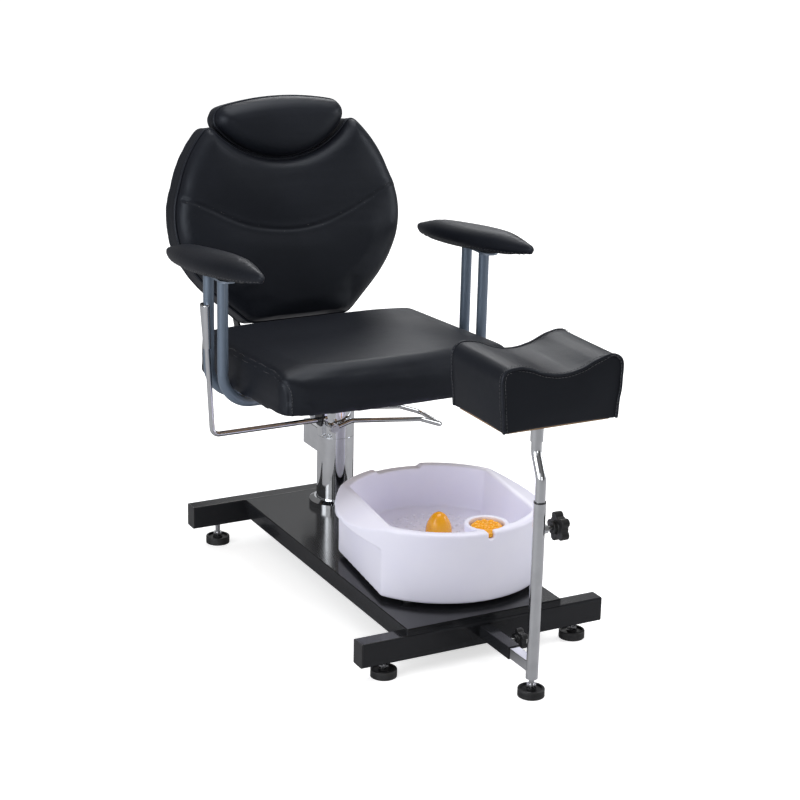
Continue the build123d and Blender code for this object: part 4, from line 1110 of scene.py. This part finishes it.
def back_top(x, height, gap):
    """Full rounded edge all round, but a tighter one along the bottom; fuller low down."""
    above = height - BACK_BOTTOM
    side = gap
    if abs(gap - above) < 0.6:
        # nearest to the bottom edge: the side round follows the slanted corner instead
        (high_x, high), (low_x, low) = BACK_CORNER
        corner_length = 71.45
        slant = (high_x - abs(x)) * (high - low) - (high - height) * (high_x - low_x)
        side = max(gap, slant / corner_length)
    bulge = math.exp(-(((height - 80) / 85) ** 2) - ((x / 180) ** 2))
    bottom = quarter(above / 11)
    return 35 * quarter(side / 36) * bottom + 7 * bulge * quarter(side / 70) * bottom


def guide_distance(x, off):
    """Metres from the axis of the nearer guide bore."""
    return np.hypot(np.abs(x) - GUIDE_X / 1000, off - GUIDE_OFF / 1000)


def back_hold(points):
    """Held at the rear and round the guide bores."""
    x, height, off = back_coords(points)
    rear = np.clip((-0.040 - off) / 0.010, 0, 1)
    bore = (guide_distance(x, off) < 0.0135) & (height > GUIDE_BOTTOM / 1000)
    return np.maximum(rear, bore.astype(float))


def guide_bores(bottom, top, radius):
    return [
        (
            back_point(side * GUIDE_X, bottom, GUIDE_OFF),
            back_point(side * GUIDE_X, top, GUIDE_OFF),
            radius / 1000,
        )
        for side in (-1, 1)
    ]


def back_loop(outline, off, step):
    return resample([back_point(x, height, off) for x, height in outline], step, True)


def build_backrest():
    front_edge = back_loop(BACK_OUTLINE, BACK_EDGE, 0.005)
    yoke_ahead = resample(spline([back_point(x, height, 18) for x, height in YOKE]), 0.004)
    back = pillow(
        "backrest_cover", BACK_OUTLINE, back_point, edge=BACK_EDGE, rear=BACK_REAR, top=back_top,
        belly=2.0, rim=15.0, depth=12.9, bores=guide_bores(GUIDE_BOTTOM, 345, 10.2),
    )
    soft_cover(
        back, cell=0.006, start_in=0.0020, smooth=5, hold=back_hold,
        seams=[front_edge, yoke_ahead], cap=0.0060,
    )
    finish(back, "backrest", "black_vinyl")
    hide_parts("back_cushion")
    surface = surface_of(back)
    yoke, _ = cast(surface, yoke_ahead, -BACK_FORWARD)
    groove(back, yoke, depth=0.0020, width=0.0032, swell=0.0006)
    edge, _ = project(surface, front_edge)
    groove(back, edge, depth=0.0022, width=0.0042)
    surface = surface_of(back)
    line, normal = smooth_seam(surface, soften(edge, 3, True), True)
    piping("backrest_piping", "backrest", line, normal, radius=0.0034, sink=0.22)
    yoke, normal = cast(surface, yoke_ahead, -BACK_FORWARD)
    rows = stitch_rows(soften(yoke, 3), normal, side=0.0046)
    add_piece("backrest_stitching", join(rows), "backrest", "black_vinyl", THREAD)
    line, normal = project(surface, back_loop(BACK_OUTLINE, -57, 0.005))
    path = soften(line, 2, True) + normal * 0.0006
    cord = tube(path, 0.0022, True, 10, unit(soften(normal, 4, True)))
    add_piece("backrest_rear_piping", cord, "backrest", "black_vinyl", PIPING_VINYL)


# ------------------------------------------------------------------ headrest
def head_outline():
    side = arc3((144, 389.5), (150, 415), (131, 438), 12)[:-1]
    outline = arc3((-144, 389.5), (0, 320.4), (144, 389.5), 44)[:-1] + side
    outline += arc3((131, 438), (0, 452.5), (-131, 438), 40)[:-1]
    return outline + mirrored(side)


def head_top(x, height, gap):
    return 38 * quarter(gap / 40)


def head_hold(points):
    """Held inside the guide bores."""
    x, height, off = back_coords(points)
    return ((guide_distance(x, off) < 0.0105) & (height < 0.3775)).astype(float)


def build_headrest():
    outline = head_outline()
    seams = {
        "front": back_loop(outline, HEAD_EDGE, 0.004),
        "rear": back_loop(outline, HEAD_REAR + 2, 0.004),
    }
    head = pillow(
        "headrest_cover", outline, back_point, edge=HEAD_EDGE, rear=HEAD_REAR, top=head_top,
        belly=1.5, bores=guide_bores(300, 377.6, 8.0), grid=8.0,
    )
    soft_cover(
        head, cell=0.005, start_in=0.0015, smooth=5, hold=head_hold,
        seams=list(seams.values()), cap=0.0040,
    )
    finish(head, "headrest", "black_vinyl")
    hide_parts("headrest_cushion")
    surface = groove_seams(head, seams.values(), depth=0.0022, width=0.0040)
    for place, seam in seams.items():
        line, normal = smooth_seam(surface, seam, True)
        piping("headrest_piping_" + place, "headrest", line, normal, radius=0.0030, sink=0.22)


# ------------------------------------------------------------------ leg rest
def leg_profile():
    """Open outline in x and z: up one side, over the hollow top, down the other side."""
    flank = [(-115 - (z - 531) * 8 / 89, z) for z in np.linspace(531, 620, 18)]
    flank += arc3((-123, 620), (-117, 642), (-98, 650), 8)[1:]
    top = arc3((-98, 650), (-76, 647.5), (-56, 640), 6)[1:]
    top += arc3((-56, 640), (0, 627), (56, 640), 16)[1:]
    top += arc3((56, 640), (76, 647.5), (98, 650), 6)[1:]
    return flank + top + mirrored(flank)[1:]


def leg_coords(points):
    """Metres from the middle of the leg rest, and the height above the floor."""
    x = points[:, 0] - COLUMN_X
    y = points[:, 1] - (COLUMN_Y + LEG_Y / 1000)
    return x, y, points[:, 2]


def leg_hold(points):
    """Held in the pocket underneath."""
    x, y, z = leg_coords(points)
    return ((np.abs(x) < 0.110) & (np.abs(y) < 0.084) & (z < 0.5465)).astype(float)


def leg_relief(points):
    """Bottom edges drawn up between the corners."""
    x, y, z = leg_coords(points)
    x = np.abs(x / 0.118)
    y = np.abs(y / 0.090)
    low = np.clip((0.575 - z) / 0.044, 0, 1)
    side = np.clip(np.maximum(x, y) * 9 - 8.3, 0, 1)
    corner = np.minimum(x, y)
    arch = np.maximum(1 - corner**2, 0)
    points = points.copy()
    points[:, 2] += low * side * (0.0035 * arch - 0.0065 * np.clip(corner, 0, 1) ** 4)
    return points


def build_legrest():
    profile = leg_profile()
    seams = {
        place: resample([at(x, y, z) for x, z in profile], 0.004)
        for place, y in (("front", LEG_Y - LEG_SEAM), ("rear", LEG_Y + LEG_SEAM))
    }
    leg = copy_node("leg_cushion", "legrest_cover")
    soft_cover(
        leg, cell=0.005, start_in=0.0025, smooth=6, hold=leg_hold, seams=list(seams.values()),
        cap=0.0070, pressure=4.5, relief=leg_relief,
    )
    finish(leg, "legrest_pad", "black_vinyl")
    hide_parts("leg_cushion")
    surface = groove_seams(leg, seams.values(), depth=0.0012, width=0.0034)
    rows = []
    for place, seam in seams.items():
        line, normal = smooth_seam(surface, seam, False)
        piping(
            "legrest_piping_" + place, "legrest_pad", line, normal, radius=0.0029, sink=0.30,
            closed=False,
        )
        rows += stitch_rows(line, normal, side=0.0052)
    add_piece("legrest_stitching", join(rows), "legrest_pad", "black_vinyl", THREAD)


# ------------------------------------------------------------------ arm pads
def pad_outline(length, width):
    """Pointed oval of two arcs with softened tips, fuller towards the front."""
    count = 160
    half = length / 2
    arc = arc3((half, 0), (0, width / 2), (-half, 0), count // 2)[:-1]
    outline = soften(even(arc + [(-x, -y) for x, y in arc], 2 * length / count), 14, True)
    places = np.linspace(0, len(outline), count, endpoint=False)
    index = places.astype(int)
    share = (places - index)[:, None]
    before, after = outline[index % len(outline)], outline[(index + 1) % len(outline)]
    outline = before * (1 - share) + after * share
    reach = np.abs(outline).max(0)
    outline = outline * np.array((half / reach[0], width / 2 / reach[1]))
    outline[:, 1] *= 1 + 0.16 * outline[:, 0] / half * (1 - np.abs(outline[:, 0]) / half)
    return outline


def pad_reach(along):
    """0 in the middle of the pad, 1 at its tips."""
    return min(abs(along) / (PAD_LENGTH / 2), 1.0)


def pad_top(along, across, gap):
    droop = 1 - 0.30 * max(0.0, (pad_reach(along) - 0.35) / 0.65) ** 2
    return 24 * quarter(gap / 38) * droop


def pad_point(side, along, across, up):
    """Along runs to the front. The pad gets thinner, and its underside rises, to both tips."""
    tip = max(0.0, (pad_reach(along) - 0.45) / 0.55)
    up = PAD_BASE + (up - PAD_BASE) * (1 - 0.34 * tip * tip) + 5.5 * tip**4
    return at(
        side * PAD_X + across,
        PAD_Y - (along - PAD_SHIFT) * cos_d(PAD_RISE) + up * sin_d(PAD_RISE),
        PAD_Z + (along - PAD_SHIFT) * sin_d(PAD_RISE) + up * cos_d(PAD_RISE),
    )


def build_arm_pad(name, side):
    """Firm pad under tight vinyl with a row of stitches near its lower edge."""
    pad = pillow(
        "arm_pad_" + name, pad_outline(PAD_LENGTH, PAD_WIDTH),
        lambda along, across, up: pad_point(side, along, across, up),
        edge=PAD_EDGE, rear=PAD_BASE, top=pad_top, belly=0.8, rim=4.8, depth=6.9, grid=8.0,
        narrow=(0.978, 0.905),
    )
    round_off(pad, 0.0026, 7)
    finish(pad, "seat", "black_vinyl")
    loop = pad_outline(PAD_LENGTH - 5, PAD_WIDTH - 4)
    loop = resample([pad_point(side, x, y, 6.0) for x, y in loop], 0.003, True)
    surface = groove_seams(pad, [loop], depth=0.0010, width=0.0022)
    line, normal = project(surface, loop)
    staples = stitches(soften(line, 3, True), normal, pitch=0.0105, length=0.0062)
    add_piece("arm_pad_staples_" + name, staples, "seat", "black_vinyl", THREAD)
    return pad


def build_arm_pads():
    right_pad = build_arm_pad("right", -1)
    build_arm_pad("left", 1)
    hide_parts("arm_pads")


# ------------------------------------------------------------------ back panel
# rolled edge of the panel from front to rear: inset, off
PANEL_EDGE = ((0.0, -48.0), (0.0, -56.4), (0.5, -58.4), (1.8, -59.5), (4.0, -60.0), (7.0, -60.1))


def build_back_panel():
    """Vinyl-covered board in the rear of the backrest."""
    base = even(inset(even(BACK_OUTLINE, 3.0), 17.4), 4.0)
    rows = [(base + inward(base) * gap, off) for gap, off in PANEL_EDGE]
    count = len(base)
    verts = [back_point(x, height, off) for row, off in rows for x, height in row]
    faces = []
    for i in range(len(rows) - 1):
        for k in range(count):
            m = (k + 1) % count
            near, far = i * count, (i + 1) * count
            faces.append((near + k, near + m, far + m, far + k))
    for i, flip in ((0, True), (len(rows) - 1, False)):
        row, off = rows[i]
        plan, triangles, sources = triangulate(np.vstack([row, inset(row, 8.0)]), count)
        where = []
        for place, source in zip(plan, sources):
            if source and min(source) < count:
                where.append(i * count + min(source))
            else:
                where.append(len(verts))
                verts.append(back_point(place[0], place[1], off))
        for face in triangles:
            faces.append(tuple(where[j] for j in (reversed(face) if flip else face)))
    panel = new_object("backrest_panel", verts, faces)
    face_outwards(panel)
    finish(panel, "backrest", "black_vinyl")
    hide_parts("back_board")


# ------------------------------------------------------------------ basin and knobs
# rings of nubs round the dome: radius in metres, count; every other ring is half a step on
NUB_RINGS = ((0.040, 12), (0.056, 18), (0.072, 24), (0.088, 30), (0.104, 34))
# outline of a nub from its foot up: radius, height (metres)
NUB_PROFILE = ((0.0042, -0.0006), (0.0038, 0.0004), (0.0030, 0.0014), (0.0018, 0.0022))
NUB_HEIGHT = 0.0025
NUB_SIDES = 12
WELL_FLOOR_TOP = 0.1545  # metres; higher places get no nub


def soft_copy(node, name, body, slot, cell, smooth):
    """Rounded copy of a CAD piece that takes its place."""
    obj = copy_node(node, name)
    round_off(obj, cell, smooth)
    finish(obj, body, slot)
    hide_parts(node)
    return obj


def nub(x, y, z):
    sides = NUB_SIDES
    turns = [j * math.pi / (sides / 2) for j in range(sides)]
    verts, faces = [], []
    for radius, height in NUB_PROFILE:
        verts += [(x + radius * math.cos(a), y + radius * math.sin(a), z + height) for a in turns]
    tip = len(verts)
    last = tip - sides
    verts.append((x, y, z + NUB_HEIGHT))
    for base in range(0, last, sides):
        for j in range(sides):
            k = (j + 1) % sides
            faces.append((base + j, base + k, base + sides + k, base + sides + j))
    faces += [(last + j, last + (j + 1) % sides, tip) for j in range(sides)]
    faces.append(tuple(range(sides - 1, -1, -1)))
    return verts, faces


def build_basin():
    """The tub, and small nubs on the well's floor round the dome."""
    basin = soft_copy("basin", "basin_tub", "foot_basin", "basin_plastic", 0.0027, 9)
    dome_x, dome_y = box_centre("massage_dome")
    surface = surface_of(basin)
    nubs = []
    for i, (radius, count) in enumerate(NUB_RINGS):
        shift = 0.5 if i % 2 == 0 else 0.0
        for k in range(count):
            angle = 2 * math.pi * (k + shift) / count
            x, y = dome_x + radius * math.cos(angle), dome_y + radius * math.sin(angle)
            hit = surface.ray_cast(Vector((x, y, 0.23)), Vector((0, 0, -1)), 0.12)[0]
            if hit is not None and hit.z <= WELL_FLOOR_TOP:
                nubs.append(nub(x, y, hit.z))
    add_piece("basin_nubs", join(nubs), "foot_basin", "basin_plastic")


# node, new name, body, slot, cell in metres, smoothing steps
SMALL_PARTS = (
    ("post_knob", "post_knob_grip", "post_clamp_knob", "black_plastic", 0.0009, 5),
    ("slide_knob", "slide_knob_grip", "slide_clamp_knob", "black_plastic", 0.0008, 5),
    ("massage_dome", "massage_dome_cap", "foot_basin", "orange_plastic", 0.0009, 4),
    ("massage_roller", "massage_roller_disc", "roller", "orange_plastic", 0.0008, 4),
)


# ------------------------------------------------------------------ studio
def build_floor():
    half = 14  # metres
    mesh = bpy.data.meshes.new("floor")
    work = bmesh.new()
    corners = ((-half, -half, 0), (half, -half, 0), (half, half, 0), (-half, half, 0))
    work.faces.new([work.verts.new(corner) for corner in corners])
    work.to_mesh(mesh)
    work.free()
    floor = bpy.data.objects.new("floor", mesh)
    set_smooth(floor)
    scene.collection.objects.link(floor)
    mat = Material("floor_white")
    mottle = mat.noise(scale=3, detail=3)
    ray = mat.add("LightPath").outputs
    pale = mat.mix(mat.ramp(mottle, span=(0.3, 0.7)), (0.88, 0.88, 0.885), (0.91, 0.91, 0.91))
    mesh.materials.append(mat.set({
        # darker in reflections
        "Base Color": mat.mix(ray["Is Glossy Ray"], pale, (0.36, 0.36, 0.37)),
        "Roughness": 0.7,
        "Specular IOR Level": 0.1,
        # lit a little more for the camera, so that it stays white
        "Emission Color": (1, 1, 1),
        "Emission Strength": mat.math("MULTIPLY", ray["Is Camera Ray"], 0.62),
    }))


def build_world():
    """White surroundings, dimmer in reflections and brighter for the camera."""
    world = bpy.data.worlds.new("studio")
    scene.world = world
    world.use_nodes = True
    nodes = Nodes(world.node_tree)
    ray = nodes.add("LightPath").outputs
    glossy = nodes.math("MULTIPLY", ray["Is Glossy Ray"], -0.39)
    seen = nodes.math("MULTIPLY", ray["Is Camera Ray"], 0.45)
    strength = nodes.math("ADD", nodes.math("ADD", glossy, seen), 0.55)
    nodes.feed(world.node_tree.nodes["Background"], {0: (1.0, 1.0, 1.0), 1: strength})


def softbox(name, place, target, width, height, power, color=(1, 1, 1)):
    light = bpy.data.lights.new(name, "AREA")
    light.shape = "RECTANGLE"
    light.size = width
    light.size_y = height
    light.energy = power
    light.color = color
    obj = bpy.data.objects.new(name, light)
    obj.location = place
    obj.rotation_mode = "QUATERNION"
    obj.rotation_quaternion = (Vector(target) - Vector(place)).to_track_quat("-Z", "Y")
    scene.collection.objects.link(obj)


def build_lights():
    softbox(
        "top_softbox", place=(0.3, 0.5, 3.2), target=(0, 0, 0.4), width=2.2, height=2.2, power=46
    )
    softbox(
        "left_softbox", place=(-3.4, -0.6, 1.5), target=(0, 0, 0.5), width=1.2, height=2.2,
        power=34, color=(0.94, 0.97, 1),
    )
    softbox(
        "right_softbox", place=(3.2, -1.2, 1.8), target=(0, -0.1, 0.5), width=1.0, height=2.0,
        power=26, color=(0.96, 0.98, 1),
    )
    softbox(
        "rear_softbox", place=(1.6, 3.0, 2.6), target=(0, 0.2, 0.7), width=1.2, height=1.2,
        power=22,
    )


# cards: degrees from -Y towards +X, distance, width, height (metres), glow
CARDS = (
    (-66, 3.6, 2.3, 2.3, 2.6),
    (76, 3.6, 1.5, 2.3, 2.2),
    (-30, 5.0, 0.35, 3.0, 0.01),
    (-31, 5.4, 1.8, 2.2, 1.0),
    (-7, 4.6, 1.3, 1.1, 1.8),
    (28, 4.4, 1.4, 2.4, 0.03),
    (150, 4.6, 2.0, 2.6, 0.5),
)


def build_card(name, angle, distance, width, height, glow):
    """Upright card that only reflections see: a bright band or dark streak in the chrome."""
    mat = Material(name)
    cloud = mat.noise(scale=1.2, detail=2)
    mat.set({
        "Base Color": (0.01, 0.01, 0.012),
        "Roughness": 0.9,
        "Emission Color": (0.97, 0.985, 1),
        "Emission Strength": mat.ramp(cloud, span=(0.3, 0.7), to=(0.85 * glow, 1.1 * glow)),
    })
    mesh = bpy.data.meshes.new("card")
    half = width / 2
    corners = [(-half, 0, 0), (half, 0, 0), (half, 0, height), (-half, 0, height)]
    mesh.from_pydata(corners, [], [(0, 1, 2, 3)])
    mesh.materials.append(mat.material)
    card = bpy.data.objects.new(name, mesh)
    card.location = (distance * sin_d(angle), -distance * cos_d(angle), 0.02)
    card.rotation_euler = (0, 0, math.radians(angle))
    card.visible_camera = False
    card.visible_diffuse = False
    card.visible_shadow = False
    card.visible_transmission = False
    scene.collection.objects.link(card)


def build_camera():
    turn, rise, roll = (math.radians(angle) for angle in (-28.3, 17.95, 1.4))
    back = Vector(
        (math.sin(turn) * math.cos(rise), -math.cos(turn) * math.cos(rise), math.sin(rise))
    )
    level = Vector((math.cos(turn), math.sin(turn), 0))
    upright = back.cross(level)
    right = level * math.cos(roll) + upright * math.sin(roll)
    up = -level * math.sin(roll) + upright * math.cos(roll)
    lens = bpy.data.cameras.new("camera")
    lens.sensor_fit = "HORIZONTAL"
    lens.sensor_width = 36
    lens.lens = 92.25
    lens.clip_start, lens.clip_end = 0.05, 60
    camera = bpy.data.objects.new("camera", lens)
    matrix = Matrix((right, up, back)).transposed().to_4x4()
    matrix.translation = (-1.82357, -3.40567, 1.65213)
    camera.matrix_world = matrix
    scene.collection.objects.link(camera)
    scene.camera = camera


# ------------------------------------------------------------------ build
dress_nodes()
build_seat()
build_backrest()
build_headrest()
build_legrest()
build_arm_pads()
build_back_panel()
build_basin()
for small_part in SMALL_PARTS:
    soft_copy(*small_part)
build_floor()
build_world()
build_lights()
for card_index, card_row in enumerate(CARDS):
    build_card("card_%d" % card_index, *card_row)
build_camera()
scene.view_settings.view_transform = "Standard"
scene.view_settings.look = "None"
